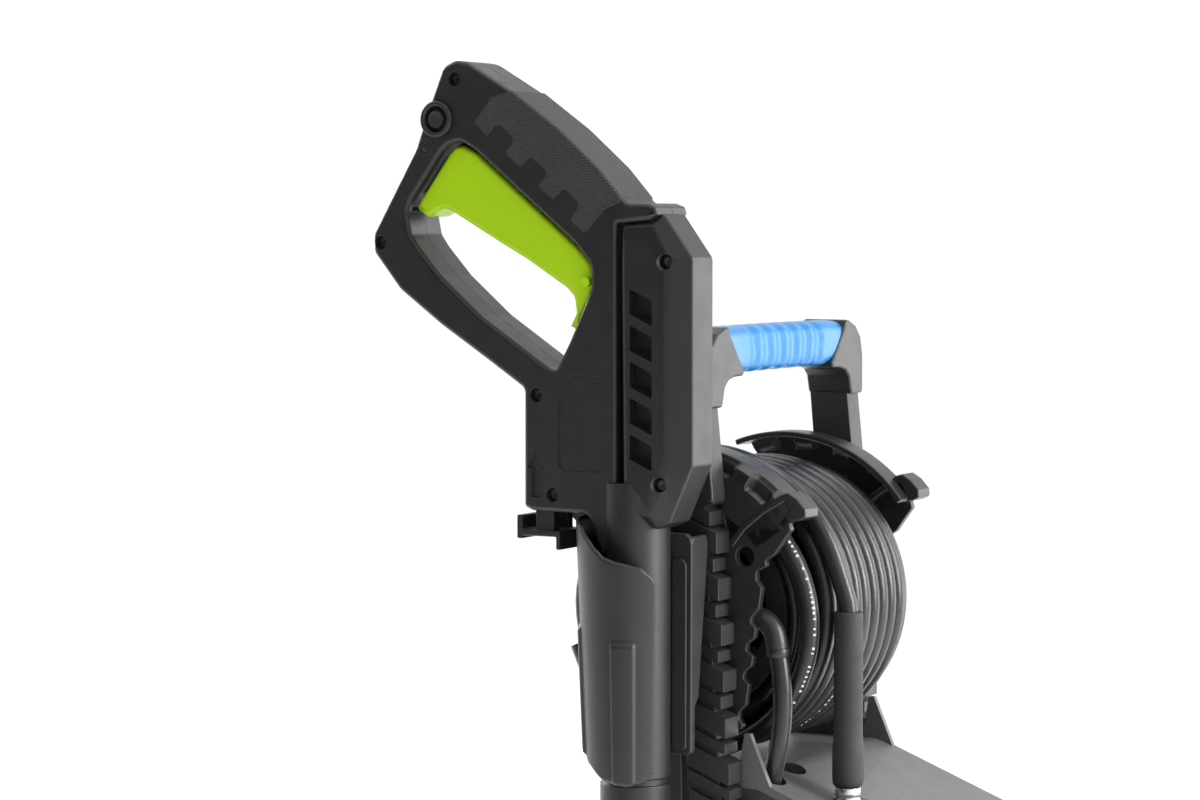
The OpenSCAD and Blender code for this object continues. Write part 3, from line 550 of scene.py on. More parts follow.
def weighted(o, bevel=0.0, seg=2, angle=35):
    if bevel > 0:
        b = o.modifiers.new("edge", "BEVEL")
        b.width = bevel / 1000.0
        b.segments = seg
        b.limit_method = "ANGLE"
        b.angle_limit = math.radians(angle)
        name, mats, par = o.name, list(o.data.materials), o.get("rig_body")
        bpy.context.view_layer.update()
        dg = bpy.context.evaluated_depsgraph_get()
        me = bpy.data.meshes.new_from_object(o.evaluated_get(dg), depsgraph=dg)
        o.modifiers.clear()
        o.data = me
    smart_normals(o.data)
    return o


def sink(y, z, r, depth, x_face, sign):
    """Cutter for a round screw well with a small chamfered mouth; sign -1 opens towards -X."""
    pr = [(x_face + sign * 1.0, 0), (x_face + sign * 1.0, r + 1.4), (x_face, r + 0.7), (x_face - sign * 0.7, r), (x_face - sign * depth, r), (x_face - sign * depth, 0)]
    return lathe_mesh("cut", pr, ax_x(y, z), 32)


# ------------------------------------------------------------------ spray gun
GUN_OUT = [(167, 963, 9), (176, 959, 7), (187, 933, 10), (197, 907, 10), (229.5, 853, 9), (229, 842, 8), (209, 818, 12), (178, 796, 20), (141, 773, 30), (116, 757, 5),
           (116, 683, 2.5), (110, 680.5, 3), (70, 680, 6), (64, 664, 8), (60, 655, 2), (49.5, 655, 1), (49.5, 860, 1), (27, 862, 1.5), (20, 865.5, 1.2), (21.5, 870.5, 2), (27, 872.5, 3),
           (42, 872.5, 6), (61, 893, 30), (90, 918, 40), (125, 943, 40), (157, 961.5, 14)]
GUARD = [(172, 910, 5), (163, 912, 8), (153, 907, 12), (79, 847.5, 8), (67.5, 834, 10), (67.5, 820, 8), (72.5, 809, 8), (83, 787, 10), (93, 768.5, 3.5), (99, 770.5, 6),
         (148, 802, 20), (178, 827, 18), (195, 845.5, 7), (200.5, 853, 6), (203.5, 868, 5), (201, 874, 6), (178, 905, 10)]
CAVITY = [(207, 870), (205, 880), (191, 899), (179, 911), (166, 922), (156, 928), (146, 924), (70, 862), (58, 848), (55, 830), (58, 812), (70, 802), (90, 800), (120, 842), (190, 862)]
BODY_SCREWS = [(167, 951), (223, 848), (107, 753), (95, 691)]
COVER_SCREWS = [(15, 837), (19, 700)]
PANEL = [(82.5, 766, 1.5), (59, 766, 1.5), (58, 706, 1.5), (88, 706, 2), (91, 710, 2), (91, 750, 2)]
ARROW = [(107, 717), (113.5, 707.5), (110, 707.5), (110, 689), (103.5, 689), (103.5, 707.5), (100, 707.5)]
GRIP = [(124, 943, 3), (139, 940.5, 5), (153, 924, 3), (142, 914, 2.5), (134, 922, 2.5), (123, 913, 2.5), (130, 904, 2.5), (118, 894, 2.5), (110, 901, 2.5), (99, 892, 2.5),
        (106, 883, 2.5), (94, 874, 2.5), (86, 881, 2.5), (76, 872, 2.5), (83, 862, 2.5), (71, 853, 3), (57, 868, 4), (43, 874, 3), (61.5, 894.5, 30), (90, 919, 40)]
B_GUN = "gun"

shell = plate_mesh("shell", [fillet(GUN_OUT), fillet(GUARD)], GX0, GX1, 3.2, 4)
cutters = [plate_mesh("cav", [fillet(CAVITY, 4)], GX - 13.6, GX + 13.6, 0.5, 2)]
for sgn, xf in ((-1, GX0), (1, GX1)):
    for (y, z) in BODY_SCREWS:
        cutters.append(sink(y, z, 4.3 if sgn < 0 else 3.2, 4.6 if sgn < 0 else 2.0, xf, sgn))
cutters.append(plate_mesh("pan", [fillet(PANEL)], GX0 - 3, GX0 + 0.8, 0.3, 1))
cutters.append(plate_mesh("arr", [fillet(ARROW, 0.5, 2)], GX0 - 3, GX0 + 1.4, 0.3, 1))
cutters.append(lathe_mesh("lk", [(GX0 - 5, 0), (GX0 - 5, 8.6), (GX0 + 2.2, 7.4), (GX0 + 2.2, 5.7), (GX1 - 2.2, 5.7), (GX1 - 2.2, 7.4), (GX1 + 5, 8.6), (GX1 + 5, 0)], ax_x(180, 926), 48))
cutters.append(lathe_mesh("sk", [(640, 0), (640, 8.6), (681, 8.6), (683, 7.5), (716, 7.5), (716, 0)], ax_z(GX, 82), 40))
for sx in (-9, 9):
    cutters.append(plate_mesh("sl", [[Vector(q) for q in ((95.4, 660), (112.6, 660), (112.6, 708), (95.4, 708))]], GX + sx - 3.5, GX + sx + 3.5, 0.01, 1))
shell = carve(shell, cutters, "shell_cut")
for nm, low in (("gun_body_near", True), ("gun_body_far", False)):
    me = half(shell, nm, GX - 0.15 if low else GX + 0.15, low)
    o = obj_from(nm, me, M_GUN, B_GUN)
    weighted(o)
    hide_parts("gun_shell_right" if low else "gun_shell_left")

# raised collar around the safety button, both sides
for sgn, xf, nm in ((-1, GX0, "safety_ring_near"), (1, GX1, "safety_ring_far")):
    pr = [(xf - sgn * 3, 11.8), (xf + sgn * 0.6, 11.8), (xf + sgn * 1.9, 11.3), (xf + sgn * 2.5, 10.3), (xf + sgn * 2.5, 9.4), (xf + sgn * 1.8, 8.6), (xf - sgn * 0.4, 7.6), (xf - sgn * 2.2, 7.2), (xf - sgn * 3, 7.2)]
    o = obj_from(nm, lathe_mesh(nm, pr, ax_x(180, 926), 64), M_GUN, B_GUN)
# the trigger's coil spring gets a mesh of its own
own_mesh(bpy.data.objects["trigger_spring"])
# the button itself, dished end
pr = [(GX0 - 0.2, 0), (GX0 - 0.5, 3.4), (GX0 - 1.6, 4.6), (GX0 - 2.0, 5.2), (GX0 - 1.4, 5.5), (GX1 + 1.4, 5.5), (GX1 + 2.0, 5.2), (GX1 + 1.6, 4.6), (GX1 + 0.5, 3.4), (GX1 + 0.2, 0)]
o = obj_from("safety_push_button", lathe_mesh("safety_push_button", pr, ax_x(180, 926), 48), M_RUBBER, "safety_button")
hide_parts("lock_button")


def tube_loop(name, pts, r, closed=True, n=8):
    """Round bead along points in metres."""
    m = len(pts)
    bm = bmesh.new()
    rows = []
    for i, p in enumerate(pts):
        a = pts[(i + 1) % m] if closed or i + 1 < m else p
        b = pts[i - 1] if closed or i > 0 else p
        t = (a - b).normalized()
        u = t.cross(Vector((1, 0, 0)))
        if u.length < 1e-4:
            u = t.cross(Vector((0, 0, 1)))
        u.normalize()
        w = t.cross(u)
        rows.append([bm.verts.new(p + r * (math.cos(2 * math.pi * k / n) * u + math.sin(2 * math.pi * k / n) * w)) for k in range(n)])
    rng = range(m) if closed else range(m - 1)
    for i in rng:
        a, b = rows[i], rows[(i + 1) % m]
        for k in range(n):
            bm.faces.new((a[k], a[(k + 1) % n], b[(k + 1) % n], b[k]))
    if not closed:
        bm.faces.new(rows[0][::-1])
        bm.faces.new(rows[-1])
    bmesh.ops.recalc_face_normals(bm, faces=bm.faces)
    me = bpy.data.meshes.new(name)
    bm.to_mesh(me)
    bm.free()
    return me


# small embossed padlock sign in a circle, beside the button
cy, cz = 188.2, 908.5
parts = [tube_loop("c", [V(GX0, cy + 5.2 * math.cos(a), cz + 5.2 * math.sin(a)) for a in [2 * math.pi * i / 40 for i in range(40)]], 0.00035)]
sq = [(-2.0, -2.6), (2.0, -2.6), (2.0, 0.3), (-2.0, 0.3)]
parts.append(plate_mesh("b", [[Vector((cy + a, cz + b)) for a, b in sq]], GX0 - 0.4, GX0 + 0.3, 0.15, 1))
parts.append(tube_loop("s", [V(GX0, cy + 1.4 * math.cos(a), cz + 0.6 + 1.9 * max(0.0, math.sin(a)) ) for a in [math.pi * i / 12 for i in range(13)]], 0.0003, False))
o = obj_from("padlock_sign", join_meshes("padlock_sign", parts), M_GUN, B_GUN)

# soft grip
o = obj_from("grip_overmould", plate_mesh("grip_overmould", [fillet(GRIP)], GX0 - 0.9, GX1 + 0.9, 2.4, 4), M_SOFT, B_GUN)
weighted(o)
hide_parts("soft_grip")

# trigger
TRIG = [(165, 909.5, 6), (155, 904.5, 8), (81, 845, 8), (70.5, 834, 8), (69.5, 821, 8), (74, 811, 6), (85, 790.5, 0.8), (82.5, 805, 8), (84, 815, 6), (90, 820.5, 8), (118, 837.5, 20),
        (137, 847.5, 20), (178, 870, 14), (184.5, 868.3, 5), (188.5, 865.2, 6), (193, 864.2, 3), (200, 869.5, 1.6), (199, 873, 2), (176, 904, 8), (171, 909, 4)]
o = obj_from("trigger_lever", plate_mesh("trigger_lever", [fillet(TRIG)], GX - 13, GX + 13, 3.0, 5), M_LIME, "gun_trigger")
weighted(o)
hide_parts("trigger")

# barrel cover: full outline at the middle, drawn in towards a long ridge on each flank
FULL = [(45, 862), (27, 865.5), (19, 866), (-1, 839), (-1, 712), (15, 676), (24, 672), (33, 675), (47, 691), (47.5, 838)]
SIDE = [(45.5, 858), (29, 859), (24, 858.5), (12, 837), (12, 714), (22, 684), (27, 681), (33, 681), (44.5, 694), (46, 838)]
TOPF = [(43.5, 845), (35, 846), (30, 843), (16.5, 833), (16.5, 718), (25, 694), (29, 692), (33, 692), (42.5, 701), (44, 836)]


def cover_mesh():
    lv = [(GX, FULL), (GX0 + 7, FULL), (GX0 + 1.6, SIDE), (GX0, TOPF)]
    bm = bmesh.new()
    rows = []
    for x, poly in [(2 * GX - x, p) for x, p in lv[:0:-1]] + lv:
        rows.append([bm.verts.new(V(x, y, z)) for y, z in poly])
    n = len(FULL)
    for a, b in zip(rows, rows[1:]):
        for k in range(n):
            bm.faces.new((a[k], a[(k + 1) % n], b[(k + 1) % n], b[k]))
    bm.faces.new(rows[0])
    bm.faces.new(rows[-1])
    bmesh.ops.recalc_face_normals(bm, faces=bm.faces)
    me = bpy.data.meshes.new("cover")
    bm.to_mesh(me)
    bm.free()
    o = bpy.data.objects.new("cover_t", me)
    COL.objects.link(o)
    b = o.modifiers.new("e", "BEVEL")
    b.width = 0.0022
    b.segments = 4
    b.limit_method = "ANGLE"
    b.angle_limit = math.radians(12)
    return evaluated(o, "cover")


cm = cover_mesh()
cc = []
for i in range(5):
    z = -22.3 * i
    for xf, s in ((GX0, -1), (GX1, 1)):
        cc.append(plate_mesh("v", [fillet([(39.5, 820 + z), (24, 813 + z), (24, 797.5 + z), (39.5, 804.5 + z)], 0.8, 2)], min(xf + s * 4, xf - s * 8.0), max(xf + s * 4, xf - s * 8.0), 0.2, 1))
for (y, z) in COVER_SCREWS:
    cc.append(sink(y, z, 4.3, 12.0, GX0 + 1.0, -1))
cc.append(lathe_mesh("bb", [(600, 0), (600, 22.3), (690, 22.3), (690, 0)], ax_z(GX, 46.6), 48))
cm = carve(cm, cc, "cover_cut")
o = obj_from("barrel_shroud", cm, M_GUN, B_GUN)
weighted(o)
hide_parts("barrel_cover")


# ------------------------------------------------------------------ hoses
RY, RZ = 50.0, 611.0
HD = 12.5


def smooth_path(pts, step=5.0):
    """Catmull-Rom line through points (mm, drawing frame), resampled; returns metres."""
    P = [Vector(p) for p in pts]
    P = [P[0] * 2 - P[1]] + P + [P[-1] * 2 - P[-2]]
    out = []
    for i in range(1, len(P) - 2):
        p0, p1, p2, p3 = P[i - 1:i + 3]
        k = max(1, int((p2 - p1).length / step))
        for j in range(k):
            t = j / k
            out.append(0.5 * ((2 * p1) + (p2 - p0) * t + (2 * p0 - 5 * p1 + 4 * p2 - p3) * t * t + (3 * p1 - p0 - 3 * p2 + p3) * t ** 3))
    out.append(P[-2])
    return [V(*q) for q in out]


def hose(name, path, body, diameter=HD / 1000.0, mat=None):
    cu = bpy.data.curves.new(name, "CURVE")
    cu.dimensions = "3D"
    sp = cu.splines.new("POLY")
    sp.points.add(len(path) - 1)
    for p, q in zip(sp.points, path):
        p.co = (*q, 1)
    cu.bevel_depth = diameter / 2
    cu.bevel_resolution = 6
    cu.use_fill_caps = True
    sp.use_smooth = True
    o = bpy.data.objects.new(name, cu)
    COL.objects.link(o)
    cu.materials.append(mat or M_HOSE)
    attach(o, body)
    return o


# rigid elbow at the reel's swivel; the hose leaves it pointing down
elbow_pts = [(-81.4, 7, 611), (-81.4, 0, 611), (-81.4, -6, 610.2), (-81.4, -11.5, 607.2), (-81.4, -15.2, 602.5), (-81.4, -17, 596.5), (-81.4, -17.8, 590)]
elbow = join_meshes("swivel_elbow", [tube_loop("elbow_bend", smooth_path(elbow_pts, 2.0), 0.0072, False, 28),
                                     lathe_mesh("elbow_ring", [(586.5, 6.3), (586.5, 6.9), (587.1, 7.3), (591.9, 7.3), (592.5, 6.9), (592.5, 6.3)], ax_z(-81.4, -18.1), 40)])
o = obj_from("swivel_elbow", elbow, M_GUARD, "machine")
link_pts = [(-81.4, -17.4, 594), (-81.3, -19.2, 584), (-81.2, -20.9, 572), (-81.0, -21.5, 559), (-80.6, -20.8, 544), (-79.9, -18.4, 529), (-78.8, -14.9, 516),
            (-77.4, -11.6, 504), (-76, -9.4, 491), (-74.8, -8.3, 477), (-74.2, -8, 462), (-74, -8, 444)]
p = smooth_path(link_pts)
link_hose = hose("hub_link_hose", p, "machine")
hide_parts("hose_link")

TR = 94.8 + HD / 2 + 0.6
tail_pts = [(-55, RY + r * math.cos(math.radians(a)), RZ + r * math.sin(math.radians(a))) for a, r in ((68, 89.5), (78, 94.5), (88, 98.8), (97, 101.2))]
tail_pts += [(-55, RY + TR * math.cos(math.radians(a)), RZ + TR * math.sin(math.radians(a))) for a in range(106, 165, 8)]
tail_pts += [(-55, -51.8, 628), (-55, -54.4, 620), (-55, -55, 614), (-55, -55, 596), (-55, -55, 575), (-55, -55, 555), (-55, -55, 535), (-55, -55, 516)]
p = smooth_path(tail_pts)
tail_hose = hose("free_end_hose", p, "machine")
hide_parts("hose_tail")

# wound hose: one tight layer, then two slack turns at the near side, then the outer layer
rnd = random.Random(7)
turns = []
PITCH = 12.95
k = 20
NT = 8.6


def layer(turn_list, r0, a0, x_from, x_to, nt, slack_fn, seed):
    rr = random.Random(seed)
    ph = [rr.uniform(0, 6.28) for _ in range(4)]
    n = int(nt * k)
    for i in range(n):
        t = i / k
        a = a0 + 360.0 * t
        ang = math.radians(a)
        xx = x_from + (x_to - x_from) * (i / n)
        r, dx = slack_fn(t, ang, ph)
        turn_list.append((xx + dx, r0 + r, a))
    return a0 + 360.0 * n / k


flat = lambda t, ang, ph: (0.15 * math.sin(t * 5), 0.0)


def loose(t, ang, ph):
    """Outer turns lie a little unevenly."""
    w = min(1.0, t * 2, max(0.0, NT - t) * 2)
    return (w * 0.5 * math.sin(ph[0] + t * 1.9) * math.sin(ang + ph[1]) + 0.4 * w, w * 0.9 * math.sin(ang + ph[2] + t * 1.3))


a1 = layer(turns, 62.7, 0.0, 55.4, -55.2, NT, flat, 1)
a2 = layer(turns, 75.3, a1, -55.2, 55.2, NT, flat, 2)
a3 = layer(turns, 87.9, a2, 55.2, -55.2, NT, loose, 3)
# the last turn hangs slack at the near side, in front of the winding
SL = [(288, 87.9), (330, 87), (360, 85), (420, 79), (450, 76.5), (480, 75.6), (504, 76.5), (532, 80), (556, 87), (572, 91.6), (584, 93.6), (600, 93.8), (630, 92), (660, 89), (700, 87), (726, 86)]


def table_at(t, pts):
    for (p0, v0), (p1, v1) in zip(pts, pts[1:]):
        if t <= p1:
            return v0 + (v1 - v0) * (t - p0) / (p1 - p0)
    return pts[-1][1]


base = a3 - (a3 % 360.0)
ang0 = a3 % 360.0
n = int((726 - ang0) / 18.0)
for i in range(1, n):
    q = ang0 + 18.0 * i
    w = min(1.0, (q - ang0) / 110.0)
    turns.append((-55.2 - 12.5 * w * w * (3 - 2 * w), table_at(max(q, 288.0), SL), base + q))
for _ in range(2):
    # one layer climbs onto the next over about a third of a turn
    turns = [(sum(q[0] for q in turns[max(0, i - 3):i + 4]) / len(turns[max(0, i - 3):i + 4]),
              sum(q[1] for q in turns[max(0, i - 3):i + 4]) / len(turns[max(0, i - 3):i + 4]), turns[i][2]) for i in range(len(turns))]
wound_pts = [V(xx, RY + r * math.cos(math.radians(a)), RZ + r * math.sin(math.radians(a))) for xx, r, a in turns]


def densify(pts, m=3):
    P = [pts[0] * 2 - pts[1]] + pts + [pts[-1] * 2 - pts[-2]]
    out = []
    for i in range(1, len(P) - 2):
        p0, p1, p2, p3 = P[i - 1:i + 3]
        for j in range(m):
            t = j / m
            out.append(0.5 * ((2 * p1) + (p2 - p0) * t + (2 * p0 - 5 * p1 + 4 * p2 - p3) * t * t + (3 * p1 - p0 - 3 * p2 + p3) * t ** 3))
    out.append(P[-2])
    return out


wound_path = densify(wound_pts, 3)
wound = hose("wound_hose", wound_path, "reel")
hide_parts("hose_coil")


# pale maker's print reduced to plain dashes along two turns of the hose
def dashes(name, path, body, centre_fn, seed, r=HD / 2000.0 + 0.00006, every=0.0032):
    rr = random.Random(seed)
    bm = bmesh.new()
    s = 0.0
    nxt = 0.0
    for a, b in zip(path, path[1:]):
        seg = (b - a).length
        t = (b - a).normalized()
        while nxt <= s + seg:
            q = a + t * (nxt - s)
            if rr.random() < 0.82:
                out = centre_fn(q, t)
                side = t.cross(out).normalized()
                w = 0.0011 * rr.uniform(0.7, 1.0)
                l = 0.0007 * rr.uniform(0.6, 1.3)
                vs = []
                for i in range(4):
                    u = (i / 3.0 - 0.5) * 2 * w
                    d = (out * math.cos(u / r) + side * math.sin(u / r)) * r
                    vs.append((bm.verts.new(q + d - t * l), bm.verts.new(q + d + t * l)))
                for (c, d2), (e, f) in zip(vs, vs[1:]):
                    bm.faces.new((c, d2, f, e))
            nxt += every if rr.random() > 0.12 else every * 2.6
        s += seg
    me = bpy.data.meshes.new(name)
    bm.to_mesh(me)
    bm.free()
    return obj_from(name, me, M_PRINT, body)


M_PRINT, _nt, _b = new_mat("mat_print")
_v = coords(_nt)
link(_nt, ramp(_nt, noise(_nt, _v, 900.0, 3.0), [(0.35, (0.28, 0.28, 0.28, 1)), (0.6, (0.62, 0.62, 0.62, 1))]), _b.inputs["Base Color"])
_b.inputs["Roughness"].default_value = 0.6


def outward(tilt):
    """Direction from the hose line towards the viewer's side of the winding."""
    ax = V(0, RY, RZ)

    def f(q, t):
        d = Vector((0, q.y - ax.y, q.z - ax.z)).normalized()
        d = (d * math.cos(tilt) + Vector((-1, 0, 0)) * math.sin(tilt))
        d = d - t * d.dot(t)
        return d.normalized()
    return f


i0 = len(wound_path) - 3 * 14
dashes("print_dashes_a", wound_path[i0:i0 + 24], "reel", outward(math.radians(35)), 3)
dashes("print_dashes_b", wound_path[i0 - 6 * 20 - 100:i0 - 6 * 20 - 78], "reel", outward(math.radians(10)), 5)

# bend sleeve on the free end: slim upper part, a short step, fuller lower part, open rim at the top
pr = [(606, 6.4), (614.5, 6.5), (615, 7.6), (614.6, 8.8), (613.6, 9.2), (575, 9.3), (537, 9.3), (533, 9.5), (530, 9.9), (527, 10.1), (509, 10.1), (505.5, 9.8), (503.8, 9.0), (503.4, 7.0), (503.4, 4.0)]
o_sleeve = obj_from("bend_sleeve", lathe_mesh("bend_sleeve", pr, ax_z(-55, -55), 56), M_RUBBER, "machine")
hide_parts("hose_sleeve")
pr = [(515, 4.2), (503.2, 4.4), (503.2, 7.4), (502.4, 8.1), (498, 8.3), (497.4, 7.7), (495.6, 7.7), (495, 8.3), (489, 8.5), (488.2, 8.0), (486.6, 8.0), (486, 8.5), (475, 8.5), (474.2, 7.9), (474, 6.2), (462, 6.0), (461, 7.2), (453, 7.3), (452, 6.6), (452, 2.6), (514, 2.6)]
o_coup = obj_from("hose_end_fitting", lathe_mesh("hose_end_fitting", pr, ax_z(-55, -55), 48), M_ZINC, "machine")
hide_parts("hose_coupling")

# ------------------------------------------------------------------ blue grip


def grip_mesh():
    """Bar-shaped handle grip with soft vertical waves on its front and top; its ends slant outwards at the top."""
    bm = bmesh.new()
    nx, na = 150, 44
    rows = []
    for i in range(nx + 1):
        s = i / nx
        row = []
        for k2 in range(na):
            a = 2 * math.pi * k2 / na
            cy, sz = math.cos(a), math.sin(a)
            e = 0.62
            yy = math.copysign(abs(cy) ** e, cy)
            zz = math.copysign(abs(sz) ** e, sz)
            # ends slant: the top reaches further out than the underside
            half = min(88.0, 65 + 1.17 * (779.2 + 15.3 * zz - 765.0))
            x = -half + 2 * half * s
            d = abs(x) / half
            w = 0.0
            if abs(x) < 56:
                w = 0.5 - 0.5 * math.cos((x + 56) / 112 * 2 * math.pi * 6)
                w *= min(1.0, (56 - abs(x)) / 7)
            bulge = -1.5 * w * max(0.0, -cy * 0.9 + 0.25) - 0.7 * w * max(0.0, sz)
            end = max(0.0, (d - 0.93) / 0.07)
            shrink = 1.3 * end ** 2
            hy, hz = 15.4 + bulge - shrink, 15.3 + bulge * 0.6 - shrink
            arch = 0.6 * (1 - (x / 98) ** 2)
            row.append(bm.verts.new(V(x, 31.2 + hy * yy, 779.2 + hz * zz + arch - 0.3)))
        rows.append(row)
    for a, b in zip(rows, rows[1:]):
        for k2 in range(na):
            bm.faces.new((a[k2], a[(k2 + 1) % na], b[(k2 + 1) % na], b[k2]))
    bm.faces.new(rows[0][::-1])
    bm.faces.new(rows[-1])
    bmesh.ops.recalc_face_normals(bm, faces=bm.faces)
    me = bpy.data.meshes.new("grip")
    bm.to_mesh(me)
    bm.free()
    return me


o = obj_from("handle_grip_sleeve", grip_mesh(), M_BLUE, "machine")
smart_normals(o.data, 50)
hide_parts("handle_grip")


# ------------------------------------------------------------------ uprights, handle, guards and holster
def plate_y(name, loops, y0, y1, bev, seg=3):
    """Like plate_mesh, for outlines given as [X, Z] and carried from y0 to y1."""
    me = plate_mesh(name, loops, y0, y1, bev, seg)
    for v in me.vertices:
        x, y, z = v.co
        v.co = (y - OY / 1000.0, x + OY / 1000.0, z)
    me.flip_normals()
    me.update()
    return me


def mirrored(me, name):
    m2 = me.copy()
    m2.name = name
    for v in m2.vertices:
        v.co.x = -v.co.x
    m2.flip_normals()
    m2.update()
    return m2


RS = [  # front patches of the upright: front Y, bottom Z, top Z, small one or not
    (14.9, 669.7, 679.2, 1), (9.5, 652.5, 666.1, 0), (12.3, 640.9, 649.5, 1), (8.0, 623.0, 637.0, 0), (10.3, 612.1, 620.4, 1),
    (5.8, 594.6, 608.2, 0), (8.6, 583.6, 591.2, 1), (4.3, 565.4, 578.8, 0), (6.6, 554.4, 562.7, 1), (2.8, 536.2, 549.3, 0),
    (3.8, 525.9, 532.9, 1), (0.2, 506.7, 520.5, 0)]
for i in range(6):
    z0 = 506.7 - 29.4 * (i + 1)
    RS.append((0.2 - 2.7 * (i + 1) + 2.6, z0 + 19.4, z0 + 26.6, 1))
    RS.append((0.2 - 2.7 * (i + 1), z0, z0 + 13.6, 0))


def front_at(z):
    pts = [(190, -44), (300, -22), (400, -9), (506, 3.5), (600, 9.5), (680, 15.5), (686, 12.4), (765, 19.7), (800, 22)]
    for (a, ya), (b, yb) in zip(pts, pts[1:]):
        if z <= b:
            return ya + (yb - ya) * (z - a) / (b - a)
    return pts[-1][1]


def upright(name, hole):
    parts = []
    # core, set back behind the patches
    back = [(48, 762), (44, 716), (52, 690), (74, 650), (80, 611), (74, 575), (60, 545), (62, 480), (64, 300), (64, 190)]
    fr = [(-38, 190), (-17, 300), (-4, 400), (8.5, 506), (14.5, 600), (19.5, 682), (12.4, 684.5), (12.6, 690), (19.0, 752), (22, 762), (40, 764)]
    loops = [fillet(fr + back, 3.0, 5)]
    if hole:
        loops.append(ring(RY, RZ, 16.3, 48)[::-1])
    parts.append(plate_mesh(name + "_core", loops, -109.5, -94.2, 0.8))
    # outer skin behind the grooved zone and over the plain top
    top = [(12.4, 684.5), (12.6, 690), (18.8, 752), (20, 764), (46, 764), (47, 750), (44, 716), (52, 690), (60, 676), (30, 690), (22, 687)]
    parts.append(plate_mesh(name + "_top", [fillet(top, 2.5, 5)], -112, -94.6, 1.4))
    rear = [(52, 690), (74, 650), (80, 611), (74, 575), (60, 545), (62, 480), (64, 300), (64, 190), (40, 190), (38, 300), (36, 400), (34, 500), (36, 560), (41, 611), (43, 650), (38, 686), (44, 700)]
    l2 = [fillet(rear, 4.0, 5)]
    if hole:
        parts.append(carve(plate_mesh(name + "_rear", l2, -112, -95, 1.2), [cyl_x("hc", -114, -93, 16.3, RY, RZ)], name + "_rear2"))
    else:
        parts.append(plate_mesh(name + "_rear", l2, -112, -95, 1.2))
    # patches with slanted sides
    for k2, (yf, za, zb, small) in enumerate(RS):
        t = math.tan(math.radians(22))
        d = 31.0 if k2 in (0, 1, 9, 10, 11) or k2 > 11 else 33.0
        poly = [(yf, za), (yf, zb), (yf + d, zb + d * t), (yf + d, za + d * t)]
        x0 = -110.9 if small else -112.2
        parts.append(plate_mesh(name + "_p%d" % k2, [fillet(poly, 0.7, 3)], x0, -94 + (0.5 if small else 0.0), 0.75, 2))
    # heel towards the chassis, with the wheel arch
    heel = [(-44, 204), (64, 204), (64, 190)]
    arc = []
    for i in range(13):
        a = math.radians(112 + i * 7.4)
        arc.append((105 + 102 * math.cos(a), 95 + 102 * math.sin(a)))
    arc = [q for q in arc if q[1] > 62 and q[0] < 64]
    heel += arc + [(3.5, 72), (1.5, 62), (-96, 62), (-60, 140)]
    parts.append(plate_mesh(name + "_heel", [fillet(heel, 2.0, 4)], -112, -94.4, 1.2))
    return join_meshes(name, parts)


def cyl_x(name, x0, x1, r, y, z, n=48):
    pr = [(x0, 0.0), (x0, r), (x1, r), (x1, 0.0)]
    return lathe_mesh(name, pr, ax_x(y, z), n)


def handle_end(name):
    """Corner that turns the upright into the bar: rounded outside, small fillet under the grip."""
    b = [(-112, 744), (-112, 770), (-108.5, 783), (-101, 790.5), (-91, 794.4), (-85.5, 795.0), (-83.5, 790.0), (-61.5, 763.2), (-77, 762.6), (-85, 760.8), (-90.5, 756), (-94, 744)]
    return plate_y(name, [fillet(b, 2.6, 6)], 14.6, 47.6, 1.9, 4)


for side in (0, 1):
    u = upright("upright_near" if not side else "upright_far", bool(side))
    if side:
        u = mirrored(u, "upright_far")
    o = obj_from(u.name, u, M_FRAME, "machine")
    smart_normals(o.data, 40)
    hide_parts("side_frame_left" if side else "side_frame_right")
he = handle_end("handle_corner_near")
core = plate_mesh("bar_core", [fillet([(21, 768), (21, 788), (41, 788), (41, 768)], 6, 6)], -80, 80, 0.5)
hb = join_meshes("handle_bar_body", [he, mirrored(he, "handle_corner_far"), core])
o = obj_from("handle_bar_body", hb, M_GUARD, "machine")
smart_normals(o.data, 40)
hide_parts("handle_bar")


# reel guards
def guard(name):
    arm = [(16, 690), (12, 668), (9.6, 657.0), (-0.3, 669.5), (-14, 679.5), (-27.1, 689.0), (-31, 691), (-36.5, 687.5), (-42.4, 681.5), (-43, 677.5), (-39.0, 675.6), (-31.3, 674.8), (-33.4, 668.6),
           (-27, 660), (-21.6, 652.3), (-15.3, 648.1), (-16.7, 645.1), (-9, 641), (-9, 636), (-13, 631), (-11, 618), (-6, 612), (-5, 609),
           (-9, 605), (-8, 599), (-3, 595), (-2, 591), (-7, 587), (-6, 581), (-1, 577), (0, 573), (-4, 569), (-2, 556), (3, 551), (3, 547), (0, 543), (2, 540),
           (56, 545), (70, 575), (74, 611), (70, 650), (50, 690)]
    pl = plate_mesh(name + "_plate", [fillet(arm, 1.6, 4), ring(-1.0, 650.5, 6.2, 36)[::-1], ring(RY, RZ, 16.6, 40)[::-1]], -94, -88.5, 0.9, 3)
    # raised lip along the arm's upper edge and a rounded thick end
    lip = [(11, 659.5), (0.6, 671.8), (-13.4, 681.6), (-26.6, 690.8), (-31.5, 692.2), (-37.5, 688.6), (-43.6, 682), (-44, 677), (-39.5, 674.6), (-32, 674.0), (-30, 677), (-33, 681), (-29, 686.2), (-14, 677.2), (-1.6, 667.2), (8, 655)]
    lp = plate_mesh(name + "_lip", [fillet(lip, 1.5, 4)], -94.6, -76.0, 1.3, 3)
    tp = join_meshes(name + "_parts", [pl, lp])
    return tp


